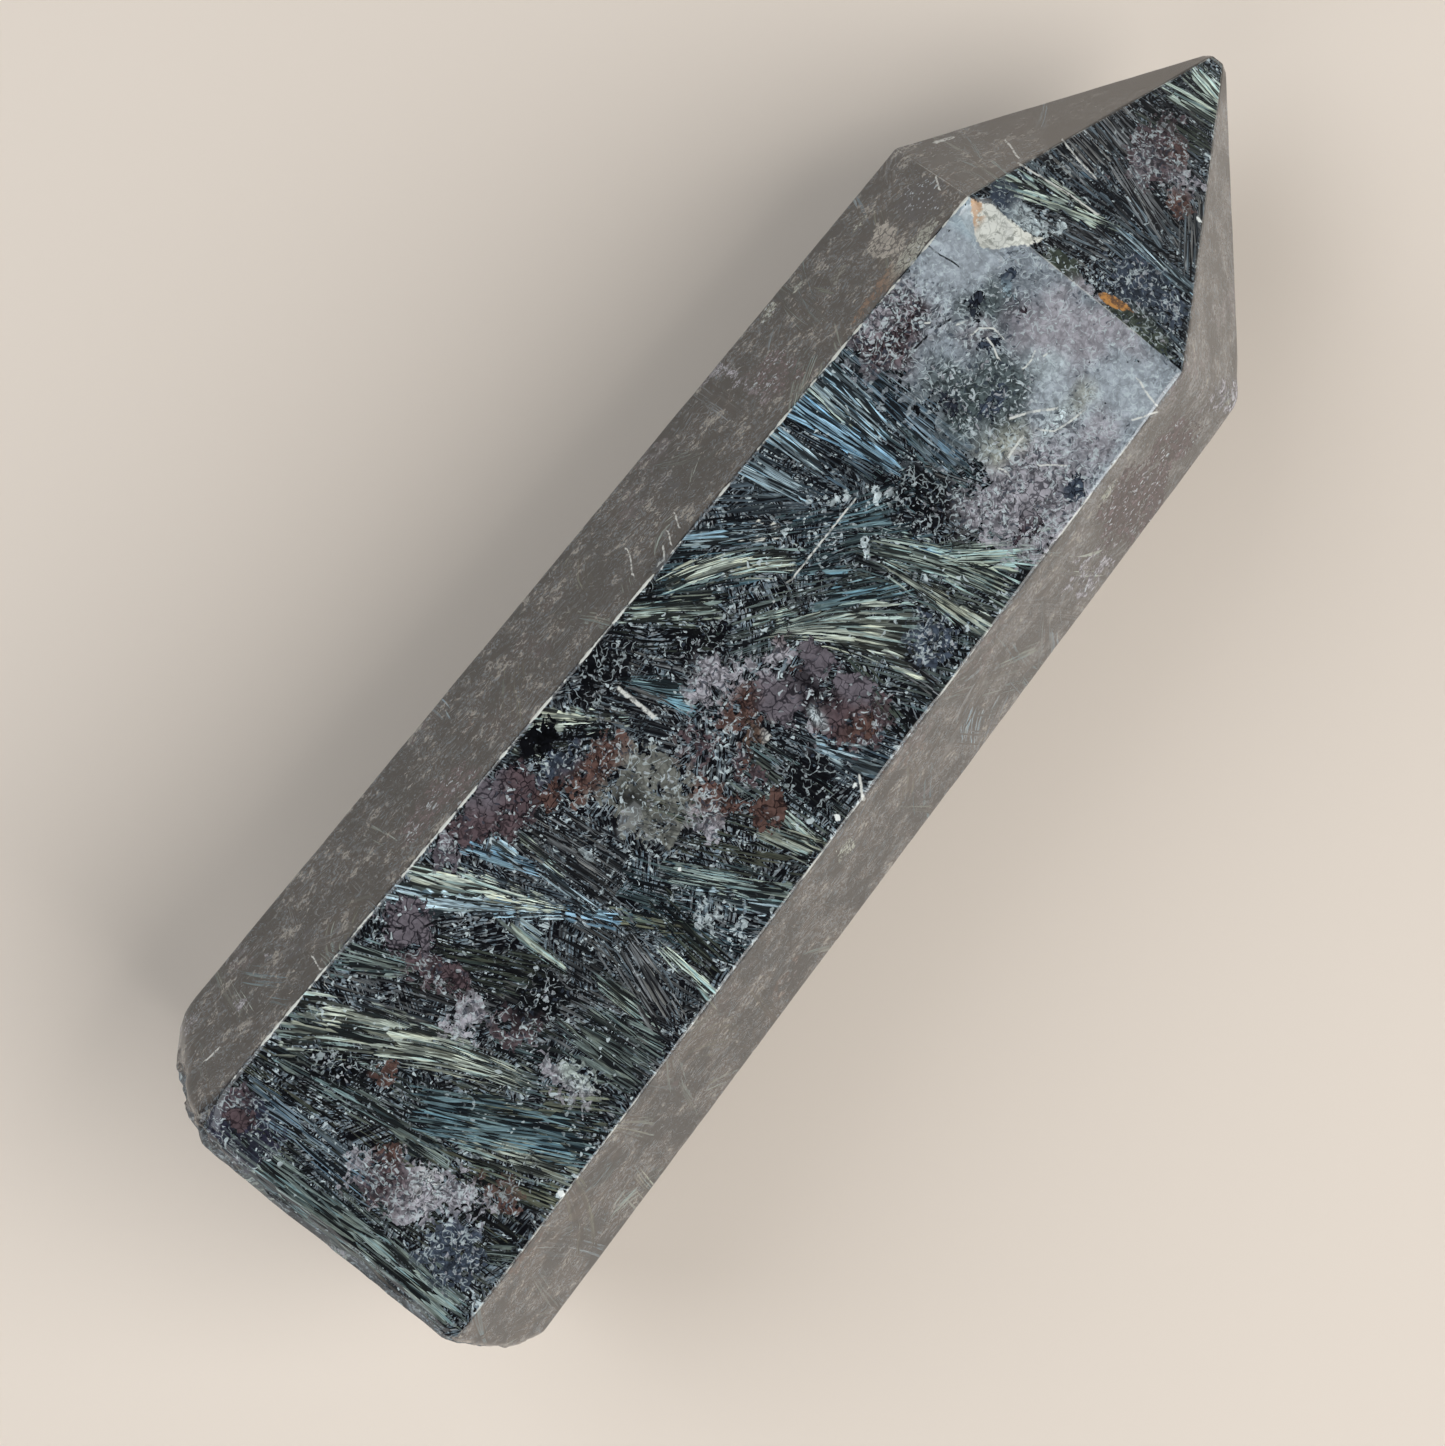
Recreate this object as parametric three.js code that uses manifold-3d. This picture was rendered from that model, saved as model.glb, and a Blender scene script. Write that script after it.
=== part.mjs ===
// Arfvedsonite point: a six-sided tower, ground and polished from one piece of stone.
//
// Millimetres. +X runs along the tower from the cut base to the tip, +Y is to the left when
// looking at the tip from above, and +Z is up. The tower lies on its bottom facet, and the
// origin is on that facet's level, under the middle of the tower's box.

import * as THREE from 'three';
import { mergeVertices } from 'three/addons/utils/BufferGeometryUtils.js';
import Module from 'manifold-3d';

// ---------------------------------------------------------------------------
// Driving dimensions. While the stone is being cut, x = 0 is the cut base.
// ---------------------------------------------------------------------------

const SHOULDER_X = 80; // where the facets' second distances are measured
const REFERENCE_HEIGHT = 13; // height of the line that the facets' distances are measured from
const SHARP_TIP = new THREE.Vector3(102.1, 1.78, 13); // where the six tip facets would meet
const WORN_TIP_X = 101; // where the blunted tip ends

// The six long facets in turn, clockwise when looking at the tip. Each one has the angle of its
// outward normal round the tower (0 is +Y, 90 is up), its distance from the reference line at the
// base and at the shoulder, and the x at which the edge that it shares with the next one ends.
const LONG_FACETS = [
  { angle: 90, atBase: 15, atShoulder: 12.2, edgeEndsAt: 80.4 },
  { angle: 26.4, atBase: 16.34, atShoulder: 13.46, edgeEndsAt: 82.5 },
  { angle: -23.9, atBase: 14.68, atShoulder: 15.05, edgeEndsAt: 81.5 },
  { angle: -90, atBase: 13, atShoulder: 13, edgeEndsAt: 80.5 },
  { angle: -153, atBase: 13.92, atShoulder: 13.26, edgeEndsAt: 83.4 },
  { angle: -202, atBase: 16.14, atShoulder: 13.33, edgeEndsAt: 80.15 },
];

// Radii of the worn edges.
const LONG_EDGE_RADIUS = 0.45;
const TIP_EDGE_RADIUS = 0.45;
const SHOULDER_EDGE_RADII = [0.4, 0.6, 1.2, 1.2, 3, 3.5]; // one for each long facet's end
const BASE_RIM_RADII = [1.5, 2.8, 2.8, 1.5, 1.2, 1]; // one for each long facet's start
const BASE_RIM_STEPS = 3;

// The two side corners of the base are ground back: where each cut starts on the long edge, and
// how far in from that edge it meets the base.
const BASE_CORNER_CUTS = [
  { facet: 1, startsAt: 3.4, depthAtBase: 2.3 },
  { facet: 4, startsAt: 2, depthAtBase: 1.3 },
];

// Chips and pits: a point on the surface, the facet normal there, the half lengths along and
// across the tower, and the depth.
const UP = new THREE.Vector3(0, 0, 1);
const FORWARD_UP = new THREE.Vector3(0.5, 0, 0.87);
const LEFT_UP = new THREE.Vector3(0, 0.5, 0.87);
const BACK_UP = new THREE.Vector3(-0.7, 0, 0.7);
const BACK_LEFT = new THREE.Vector3(-0.75, 0.6, 0.3);
const BACK_RIGHT = new THREE.Vector3(-0.75, -0.6, 0.3);
const CHIPS = [
  { at: [79.7, 6.5, 25.2], normal: FORWARD_UP, along: 1.6, across: 2.2, depth: 0.45 },
  { at: [34.2, 0.7, 26.8], normal: UP, along: 1.3, across: 0.8, depth: 0.35 },
  { at: [48.6, 9.72, 26.3], normal: LEFT_UP, along: 0.9, across: 0.5, depth: 0.25 },
  { at: [0.5, 5.5, 27.7], normal: BACK_UP, along: 0.6, across: 1.1, depth: 0.2 },
  { at: [0.5, -3.2, 27.7], normal: BACK_UP, along: 0.6, across: 1.5, depth: 0.25 },
  { at: [0.5, -8.4, 27.7], normal: BACK_UP, along: 0.6, across: 0.9, depth: 0.2 },
  { at: [1.2, 14.2, 19.2], normal: BACK_LEFT, along: 0.8, across: 1.2, depth: 0.25 },
  { at: [0.5, -13.4, 20.4], normal: BACK_RIGHT, along: 0.6, across: 1.0, depth: 0.2 },
];

const MIDDLE = new THREE.Vector3(SHOULDER_X / 2, 0, REFERENCE_HEIGHT);

// ---------------------------------------------------------------------------
// Planes. Each one is a half-space that the stone lies behind: normal . point <= distance.
// ---------------------------------------------------------------------------

function planeThrough(normal, point) {
  const unit = normal.clone().normalize();
  return { normal: unit, distance: unit.dot(point) };
}

function planeThroughPoints(a, b, c, inside) {
  const normal = b.clone().sub(a).cross(c.clone().sub(a));
  if (normal.dot(inside.clone().sub(a)) > 0) {
    normal.negate();
  }
  return planeThrough(normal, a);
}

function meetingPoint(p, q, r) {
  const qr = q.normal.clone().cross(r.normal);
  const volume = p.normal.dot(qr);
  if (Math.abs(volume) < 1e-9) {
    return null;
  }
  const rp = r.normal.clone().cross(p.normal);
  const pq = p.normal.clone().cross(q.normal);
  const sum = qr.multiplyScalar(p.distance);
  sum.addScaledVector(rp, q.distance);
  sum.addScaledVector(pq, r.distance);
  return sum.divideScalar(volume);
}

// The edge between planes p and q, worn round: flat steps that touch a circle of this radius.
function wornEdge(p, q, pointOnEdge, radius, steps) {
  const pull = p.normal.clone().add(q.normal);
  pull.multiplyScalar(radius / (1 + p.normal.dot(q.normal)));
  const centre = pointOnEdge.clone().sub(pull);
  const planes = [];
  for (let step = 1; step <= steps; step += 1) {
    const share = step / (steps + 1);
    const normal = p.normal.clone().lerp(q.normal, share).normalize();
    planes.push({ normal, distance: normal.dot(centre) + radius });
  }
  return planes;
}

// ---------------------------------------------------------------------------
// The tower's planes
// ---------------------------------------------------------------------------

function longFacetPlane(facet) {
  const angle = THREE.MathUtils.degToRad(facet.angle);
  const taper = (facet.atShoulder - facet.atBase) / SHOULDER_X;
  const normal = new THREE.Vector3(-taper, Math.cos(angle), Math.sin(angle));
  const foot = new THREE.Vector3(
    0,
    facet.atBase * Math.cos(angle),
    REFERENCE_HEIGHT + facet.atBase * Math.sin(angle),
  );
  return planeThrough(normal, foot);
}

function crossPlane(x) {
  return planeThrough(new THREE.Vector3(1, 0, 0), new THREE.Vector3(x, 0, 0));
}

const count = LONG_FACETS.length;
const next = (k) => (k + 1) % count;
const previous = (k) => (k + count - 1) % count;

const base = planeThrough(new THREE.Vector3(-1, 0, 0), new THREE.Vector3(0, 0, 0));
const longFacets = LONG_FACETS.map(longFacetPlane);
const shoulderCorners = LONG_FACETS.map((facet, k) => (
  meetingPoint(longFacets[k], longFacets[next(k)], crossPlane(facet.edgeEndsAt))
));
const tipFacets = longFacets.map((_, k) => (
  planeThroughPoints(shoulderCorners[previous(k)], shoulderCorners[k], SHARP_TIP, MIDDLE)
));

function longEdges() {
  return longFacets.flatMap((plane, k) => (
    wornEdge(plane, longFacets[next(k)], shoulderCorners[k], LONG_EDGE_RADIUS, 1)
  ));
}

function tipEdges() {
  return tipFacets.flatMap((plane, k) => (
    wornEdge(plane, tipFacets[next(k)], SHARP_TIP, TIP_EDGE_RADIUS, 1)
  ));
}

function shoulderEdges() {
  return longFacets.flatMap((plane, k) => (
    wornEdge(plane, tipFacets[k], shoulderCorners[k], SHOULDER_EDGE_RADII[k], 1)
  ));
}

function baseRim() {
  return longFacets.flatMap((plane, k) => {
    const corner = meetingPoint(plane, longFacets[next(k)], base);
    return wornEdge(base, plane, corner, BASE_RIM_RADII[k], BASE_RIM_STEPS);
  });
}

// Each corner of the base is rounded too, by a cut across the two rim edges that meet there.
function baseCorners() {
  return longFacets.map((plane, k) => {
    const neighbour = longFacets[next(k)];
    const corner = meetingPoint(plane, neighbour, base);
    const normal = plane.normal.clone().add(neighbour.normal).normalize();
    normal.add(base.normal).normalize();
    const inset = new THREE.Vector3(BASE_RIM_RADII[k] * 0.6, 0, 0);
    return planeThrough(normal, corner.add(inset));
  });
}

function baseCornerCut(cut) {
  const upper = longFacets[cut.facet];
  const lower = longFacets[next(cut.facet)];
  const start = meetingPoint(upper, lower, crossPlane(cut.startsAt));
  const end = meetingPoint(upper, lower, base);
  const outward = upper.normal.clone().add(lower.normal).normalize();
  end.addScaledVector(outward, -cut.depthAtBase);
  const side = end.clone().sub(start).cross(outward);
  return planeThroughPoints(start, end, start.clone().add(side), MIDDLE);
}

function towerPlanes() {
  return [
    base,
    crossPlane(WORN_TIP_X),
    ...longFacets,
    ...tipFacets,
    ...longEdges(),
    ...tipEdges(),
    ...shoulderEdges(),
    ...baseRim(),
    ...baseCorners(),
    ...BASE_CORNER_CUTS.map(baseCornerCut),
  ];
}

// ---------------------------------------------------------------------------
// Cutting: the tower is ground from a block, one plane at a time, and then chipped
// ---------------------------------------------------------------------------

const BLOCK = new THREE.Vector3(110, 44, 36);
const GRINDER_SIZE = 300; // a box larger than the block, whose one face grinds a plane

const wasm = await Module();
wasm.setup();

function solidFrom(geometry) {
  const plain = geometry.clone();
  plain.deleteAttribute('normal');
  plain.deleteAttribute('uv');
  const merged = mergeVertices(plain, 1e-5);
  return new wasm.Manifold(new wasm.Mesh({
    numProp: 3,
    vertProperties: new Float32Array(merged.attributes.position.array),
    triVerts: new Uint32Array(merged.index.array),
  }));
}

function geometryFrom(solid) {
  const mesh = solid.getMesh();
  const geometry = new THREE.BufferGeometry();
  geometry.setAttribute('position', new THREE.BufferAttribute(mesh.vertProperties, 3));
  geometry.setIndex(new THREE.BufferAttribute(mesh.triVerts, 1));
  return geometry;
}

function roughBlock() {
  const block = new THREE.BoxGeometry(BLOCK.x, BLOCK.y, BLOCK.z);
  block.translate(BLOCK.x / 2 - 3, 0, BLOCK.z / 2 - 3);
  return block;
}

// Everything beyond a plane, as far as the block reaches.
function grinder(plane) {
  const box = new THREE.BoxGeometry(GRINDER_SIZE, GRINDER_SIZE, GRINDER_SIZE);
  box.translate(0, 0, GRINDER_SIZE / 2);
  box.applyQuaternion(new THREE.Quaternion().setFromUnitVectors(UP, plane.normal));
  const gap = plane.distance - plane.normal.dot(MIDDLE);
  const foot = MIDDLE.clone().addScaledVector(plane.normal, gap);
  box.translate(foot.x, foot.y, foot.z);
  return box;
}

// A chip is the cap that a large faceted ball leaves where it dips below the surface. The ball is
// as high as it is wide along the tower, and stretched across it.
function chipCutter(chip) {
  const radius = (chip.along ** 2 + chip.depth ** 2) / (2 * chip.depth);
  const ball = new THREE.IcosahedronGeometry(radius, 3);
  ball.scale(1, chip.across / chip.along, 1);
  const normal = chip.normal.clone().normalize();
  ball.applyQuaternion(new THREE.Quaternion().setFromUnitVectors(UP, normal));
  const centre = new THREE.Vector3(...chip.at).addScaledVector(normal, radius - chip.depth);
  ball.translate(centre.x, centre.y, centre.z);
  return ball;
}

function towerGeometry() {
  const cutters = [...towerPlanes().map(grinder), ...CHIPS.map(chipCutter)];
  const stone = cutters.reduce(
    (solid, cutter) => solid.subtract(solidFrom(cutter)),
    solidFrom(roughBlock()),
  );
  const geometry = geometryFrom(stone);
  geometry.computeBoundingBox();
  const { min, max } = geometry.boundingBox;
  geometry.translate(-(min.x + max.x) / 2, -(min.y + max.y) / 2, -min.z);
  geometry.computeVertexNormals();
  return geometry;
}

// ---------------------------------------------------------------------------
// The part
// ---------------------------------------------------------------------------

const polishedStone = new THREE.MeshStandardMaterial({
  color: 0x3a3d40,
  roughness: 0.3,
  metalness: 0,
});

const stonePoint = new THREE.Mesh(towerGeometry(), polishedStone);
stonePoint.name = 'stone_point';

const tower = new THREE.Group();
tower.add(stonePoint);

export default tower;
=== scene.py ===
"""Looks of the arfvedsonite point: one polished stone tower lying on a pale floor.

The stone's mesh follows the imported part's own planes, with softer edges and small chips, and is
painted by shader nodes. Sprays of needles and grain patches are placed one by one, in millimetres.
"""

import math

import bpy
import numpy as np
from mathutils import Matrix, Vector

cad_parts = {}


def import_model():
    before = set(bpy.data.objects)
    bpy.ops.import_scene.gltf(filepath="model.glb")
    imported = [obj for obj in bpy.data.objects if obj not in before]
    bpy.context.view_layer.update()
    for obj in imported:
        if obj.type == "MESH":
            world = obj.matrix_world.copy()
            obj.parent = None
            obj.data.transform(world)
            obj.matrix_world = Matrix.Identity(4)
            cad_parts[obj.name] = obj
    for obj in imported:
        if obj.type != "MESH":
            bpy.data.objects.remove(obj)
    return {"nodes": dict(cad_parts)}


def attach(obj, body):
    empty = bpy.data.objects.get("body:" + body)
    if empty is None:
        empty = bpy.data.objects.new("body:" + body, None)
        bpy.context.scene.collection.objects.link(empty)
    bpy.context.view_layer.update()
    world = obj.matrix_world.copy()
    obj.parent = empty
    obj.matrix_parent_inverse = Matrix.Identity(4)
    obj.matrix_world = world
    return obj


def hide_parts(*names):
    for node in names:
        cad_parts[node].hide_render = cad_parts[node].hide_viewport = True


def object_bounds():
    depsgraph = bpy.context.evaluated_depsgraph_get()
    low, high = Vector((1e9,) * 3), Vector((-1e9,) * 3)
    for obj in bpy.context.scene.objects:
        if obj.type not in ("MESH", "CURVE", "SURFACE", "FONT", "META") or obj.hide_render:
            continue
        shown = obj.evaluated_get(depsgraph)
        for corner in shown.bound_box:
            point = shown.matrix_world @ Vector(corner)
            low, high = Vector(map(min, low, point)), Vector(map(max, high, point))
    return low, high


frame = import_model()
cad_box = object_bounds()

# -------------------- the view

MM = 0.001
EYE = np.array([-7.5, -0.185, 220.0])  # the camera looks straight down from here, in mm
PLAN_HEIGHT = 26.0  # marks are placed on this level, as seen from the camera
UP_IN_VIEW = (0.784, 0.621)  # the way that is up in the image, in X and Y
IMAGE_SIDE = 1446.0  # the image's longer side in pixels
FOCAL_PIXELS = 2946.0
SENSOR = 36.0

# -------------------- colours, as sRGB 0..255

TINTS = {
    "cream": (170, 181, 171), "green_grey": (122, 137, 134), "olive": (106, 112, 98),
    "blue_grey": (112, 130, 142), "blue": (122, 154, 174), "teal": (110, 137, 145), "white": (222, 228, 226),
    "grey": (126, 131, 134), "pale_green": (164, 180, 172), "pale_blue": (156, 178, 188),
    "dark_olive": (62, 69, 61), "indigo": (46, 47, 62), "night": (40, 45, 54), "lilac": (146, 145, 152),
    "purple": (97, 92, 99), "plum": (62, 54, 60), "purple_brown": (80, 68, 72), "red_brown": (86, 66, 61),
    "feldspar": (104, 106, 101), "beige": (146, 149, 140), "gloom": (68, 79, 80), "fleck": (150, 146, 138),
    "bone": (204, 207, 203), "milk": (151, 160, 168), "milk_warm": (149, 148, 155), "smoke": (130, 139, 147),
    "ink": (9, 10, 14), "blue_dark": (60, 69, 82), "cyan_white": (186, 200, 204), "chalk": (220, 222, 214),
    "orange": (184, 134, 78), "rust": (104, 80, 62), "brown": (84, 70, 62),
}


def linear(tint):
    """A named tint in scene-linear RGB."""
    c = np.array(TINTS[tint]) / 255.0
    return np.where(c <= 0.04045, c / 12.92, ((c + 0.055) / 1.055) ** 2.4)


# -------------------- needles and grains
# Plan coordinates: x towards the tip and y to its left, in mm from the point under the camera.
# A spray of needles runs from its first point to its second: its two widths come next, then its
# tint and its strength. The last number is how far its middle bends, where it does.

TOP_GROUND = [
    (-41.2, 11, -40.8, -11, 5, 5, "green_grey", 0.6), (-37.6, 11, -36.6, -11, 5.5, 5.5, "olive", 0.55),
    (-34.4, 11, -31.2, -3, 5, 5, "green_grey", 0.55), (-33, 1, -29.5, -11, 7, 7, "olive", 0.6),
    (-29.6, 11, -24.6, -1, 6, 5, "grey", 0.5), (-28, 0, -23.6, -11, 6, 6, "green_grey", 0.55),
    (-24.6, 6, -21, -4, 5.5, 5.5, "dark_olive", 0.7), (-21.6, 1, -19.6, -11, 6, 6, "grey", 0.6),
    (-18.6, 8, -15.4, -2, 4, 4, "blue_grey", 0.6), (-17, 0, -15.6, -11, 6, 6, "grey", 0.6),
    (-13.4, 7, -12.8, -4, 6, 6, "grey", 0.6), (-12.6, -1, -8.6, -11, 6, 6, "teal", 0.55),
    (-9.6, 10.5, -4.6, 5, 4, 3, "dark_olive", 0.6), (-7.4, -2, -3.4, -11, 6, 5, "olive", 0.6),
    (-3.4, 9, -0.6, 2, 6, 6, "grey", 0.6), (-1.4, -2, -0.8, -11, 5, 5, "green_grey", 0.6),
    (0.6, 10, 5, 4, 5, 6, "dark_olive", 0.7), (2.2, -3, 4.4, -11, 4, 5, "blue_grey", 0.55),
    (5, 10, 12.6, 2.6, 5, 5, "teal", 0.6), (10, 10, 15.4, 4, 5, 4, "blue_grey", 0.7),
    (4.6, 3.6, 13.4, -2.4, 5, 5, "green_grey", 0.6), (8, -1.6, 12.4, -11, 6, 7, "green_grey", 0.6),
    (11.6, 4.4, 19.4, -1.4, 4, 5, "teal", 0.65), (14, 0.6, 18.6, -11, 6, 7, "green_grey", 0.65),
    (16.6, 10, 17.6, 2, 6, 5, "blue_grey", 0.75), (19.6, 0, 23.6, -11, 5, 6, "grey", 0.6),
    (22, 10, 21.6, -3, 7, 6, "teal", 0.8),
]
FRONT_GROUND = [
    (38.6, 9, 40, -1, 4, 4, "grey", 0.6), (42, 8, 41.8, -7, 5, 5, "blue_grey", 0.6),
    (45.6, 7, 43.6, -5, 6, 6, "grey", 0.55), (49, 5, 48, -4, 6, 6, "grey", 0.5),
    (52.2, 4, 52.6, -3, 4, 4, "green_grey", 0.7), (39.4, 0, 38.8, -9, 4, 4, "blue_grey", 0.5),
]
TOP_SPRAYS = [
    (-41.6, 9.5, -41.4, -10.5, 2.2, 2.6, "green_grey", 0.8), (-38.6, 10, -38.2, -2, 3, 3, "blue_grey", 0.5),
    (-33.2, 10.3, -26.6, -4.5, 4.5, 1.6, "cream", 0.85, 0.6), (-28.6, 3.5, -27, 0, 1.2, 0.8, "cream", 1),
    (-27.5, 10.2, -25.2, 5.8, 2.6, 1.4, "green_grey", 0.8),
    (-35.3, 9.6, -33.7, -4, 2, 1.6, "green_grey", 0.7), (-32.5, 0, -27, -10.3, 3.5, 4, "teal", 0.75),
    (-32, -3.5, -29, -10.6, 2.5, 3, "cream", 0.8), (-33.5, -5, -31.8, -10.8, 1.5, 2.5, "olive", 0.7),
    (-30, -2.5, -25.2, -10, 2.5, 3.5, "olive", 0.65), (-20.8, 10.3, -16.4, 1.2, 2.3, 0.7, "cream", 1.15),
    (-22.7, 10.1, -16.2, 0.5, 2.3, 0.6, "pale_blue", 1.3), (-16.3, 0.6, -14.3, -2.8, 0.6, 0.8, "blue", 1.35),
    (-14.5, -2.4, -12.2, -6.6, 0.9, 0.5, "olive", 0.9),
    (-15.4, 7.2, -14.6, -0.8, 0.55, 0.5, "pale_blue", 1.35),
    (-16.9, 8.2, -15.2, 3.4, 0.9, 0.5, "blue", 1.35), (-14, 5.6, -14.2, 2.6, 0.6, 0.4, "pale_green", 1),
    (-13.4, 6, -12.6, -0.5, 2.6, 3, "grey", 0.6), (-19.1, 2.7, -18.8, -3.2, 1.1, 0.4, "pale_green", 1.1),
    (-18.5, 2.2, -18.1, -1.2, 0.5, 0.3, "pale_blue", 1.1),
    (-18.2, -4.2, -18.2, -8.6, 1, 1.2, "pale_green", 0.9),
    (-22.1, -4.2, -22.2, -7.6, 0.8, 0.9, "pale_green", 0.8),
    (-23.5, 4.5, -20.5, -1, 3, 3, "dark_olive", 0.5), (-22, -5, -21.5, -10.5, 3, 3.5, "green_grey", 0.75),
    (-20, -5, -19.5, -10.5, 1, 1.6, "green_grey", 0.75), (-15.5, -3.5, -17.5, -9.5, 3, 3, "grey", 0.5),
    (-13.8, -4.7, -14.5, -10.6, 0.5, 0.9, "pale_green", 1.1),
    (-10, -3.1, -6.2, -10.8, 1.1, 2, "green_grey", 1),
    (-10.3, -5.4, -7.2, -10.8, 0.6, 0.9, "pale_blue", 0.8), (-9.8, 9.9, -9.2, 7.7, 0.6, 0.5, "cream", 0.9),
    (-7.3, 10, -5.3, 7, 2.2, 0.8, "cream", 1), (-5.3, 7.2, -3.6, 5, 0.8, 0.4, "cream", 0.8),
    (-1.8, 6.6, 0.2, 2.8, 0.6, 2.2, "teal", 1), (0.3, 6, 2, 2.8, 0.5, 0.8, "grey", 0.8),
    (1.6, 9.6, 6.2, 4.8, 1.6, 2, "pale_green", 0.9), (4.2, 9, 11.5, 3, 1.2, 2, "cream", 0.9, 0.5),
    (7.8, 9.4, 11.5, 5.5, 1.5, 1.2, "pale_blue", 0.9), (10.6, 6.4, 12.5, 4.8, 0.5, 0.6, "white", 1.2),
    (17, 9.8, 17.2, 5.2, 1.8, 1.2, "pale_blue", 1), (19.5, 9.8, 20.3, 1.5, 2.5, 1.2, "blue", 1.15),
    (22, 9.8, 21.5, 3.5, 2.8, 2.5, "pale_blue", 0.85), (20.9, 9.8, 20.9, 6, 0.8, 0.7, "pale_green", 1),
    (24, 9.4, 23.4, -1.5, 1.5, 3, "blue_grey", 0.9), (14, 9.8, 15, 5.5, 2, 1.5, "pale_blue", 1),
    (6.5, 1.2, 12.3, -6.3, 0.8, 5, "cream", 0.9, 0.4), (9.5, 0.3, 14.5, -3.8, 1.5, 1.5, "teal", 1),
    (15.5, -0.8, 18.5, -9.5, 1.8, 2.4, "pale_green", 0.9, 0.3),
    (16.7, -2.3, 17.9, -5.2, 0.5, 0.9, "blue", 1.3), (14.8, -2.5, 15.8, -9.8, 1, 1.8, "cream", 0.9),
    (17.8, -4.5, 22, -9.6, 1.5, 3, "pale_green", 0.8), (10.2, -4.5, 10.6, -9.8, 1, 1, "grey", 0.6),
    (2.3, -5, 4.2, -9.8, 0.6, 1.6, "pale_blue", 0.9), (-4, -6.5, -3, -9.8, 1.5, 2, "cream", 0.8),
    (-1.9, -5.2, -2.5, -9.5, 0.8, 1, "pale_green", 0.85), (6.5, 2.6, 9, 0.8, 0.6, 0.8, "pale_green", 0.9),
    (10.8, 2.2, 13, 0.4, 0.9, 1.4, "teal", 0.9), (15, 2.2, 17.2, 0.2, 1, 1.6, "teal", 0.8),
    (-36.8, -9.5, -35.9, -10.8, 1.5, 2, "green_grey", 0.6), (-12, -4, -12.6, -10, 2, 2.6, "dark_olive", 0.6),
    (-8.5, 0.2, -7.2, -3.4, 1.2, 1.6, "grey", 0.6), (-7.4, 0.6, -6.2, -2.6, 1.2, 1.4, "olive", 0.7),
    (7, -9.8, 8.6, -3, 2, 1, "dark_olive", 0.6),
]
FRONT_SPRAYS = [
    (39.2, 8.3, 41.6, 0, 0.9, 0.5, "pale_green", 1), (40.6, 7.7, 41.6, 1.5, 0.7, 0.4, "pale_green", 0.9),
    (41.3, 7.4, 41.4, 2.5, 0.35, 0.3, "cream", 0.8), (44, 7, 43.5, 3.5, 4, 4, "grey", 0.5),
    (47, 5.8, 46.5, 3, 4, 4, "grey", 0.5), (45.2, 2.5, 43.2, -3.5, 1.5, 2, "grey", 0.65),
    (41.8, 0, 41.4, -6.8, 0.6, 0.8, "pale_blue", 0.9), (46, -3, 42.5, -6, 2, 2, "grey", 0.45),
    (51, 3, 51.6, -1.2, 1.2, 1.5, "pale_green", 1), (52.8, 2.2, 52.5, -0.5, 1.2, 0.9, "pale_green", 1.2),
    (38.6, 4.8, 40.2, -1, 1.2, 1.4, "grey", 0.5), (49, 4, 49.4, -1.6, 1.6, 1.6, "dark_olive", 0.5),
]
LEFT_SPRAYS = [
    (-27.8, 10.8, -25.6, 12, 1.1, 0.5, "pale_green", 0.8, 0.3),
    (-27, 10.6, -23.8, 11.4, 0.7, 0.6, "olive", 0.6, 0.2), (0.5, 12.2, 3.2, 13.4, 0.8, 0.7, "grey", 0.35),
    (-2.6, 12.6, 0.6, 12.2, 0.9, 0.5, "grey", 0.35), (33, 10.4, 36.6, 11.6, 1, 1.5, "blue_grey", 0.6),
    (5.6, 10.2, 8.2, 11, 0.4, 0.4, "cream", 0.6, 0.3), (11, 11.6, 14.6, 12.6, 0.3, 0.4, "cream", 0.55, 0.2),
]
RIGHT_SPRAYS = [
    (-36, -12.2, -28, -13, 0.8, 0.6, "grey", 0.4), (-29.5, -11.4, -23.5, -12.3, 0.5, 0.5, "grey", 0.45),
    (5, -12.8, 14, -11.6, 1.5, 1.2, "grey", 0.25),
]
# Small lace-like clusters of pale grains: where they are and their size.
LACE = [
    (13.3, 4, 0.7), (14.5, 3.2, 0.45), (12.3, 4.7, 0.4), (16, 4, 0.6), (17, 2.9, 0.5), (17.7, 1.4, 0.8),
    (18.7, 0.7, 0.4), (15.3, 0.4, 0.5), (14.2, -0.5, 0.35), (11, 5.4, 0.35), (16.6, 5, 0.35),
    (-11.1, -6.6, 0.5), (-10.3, -7.5, 0.55), (-9.5, -9.2, 0.5), (-9.1, -10.2, 0.45), (-10.9, -4.4, 0.45),
    (-13.7, -0.6, 0.4), (-7.8, -10.2, 0.4), (-9.6, -1.7, 0.4), (-12.2, 1.6, 0.35), (-17.6, -4, 0.35),
]
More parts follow.
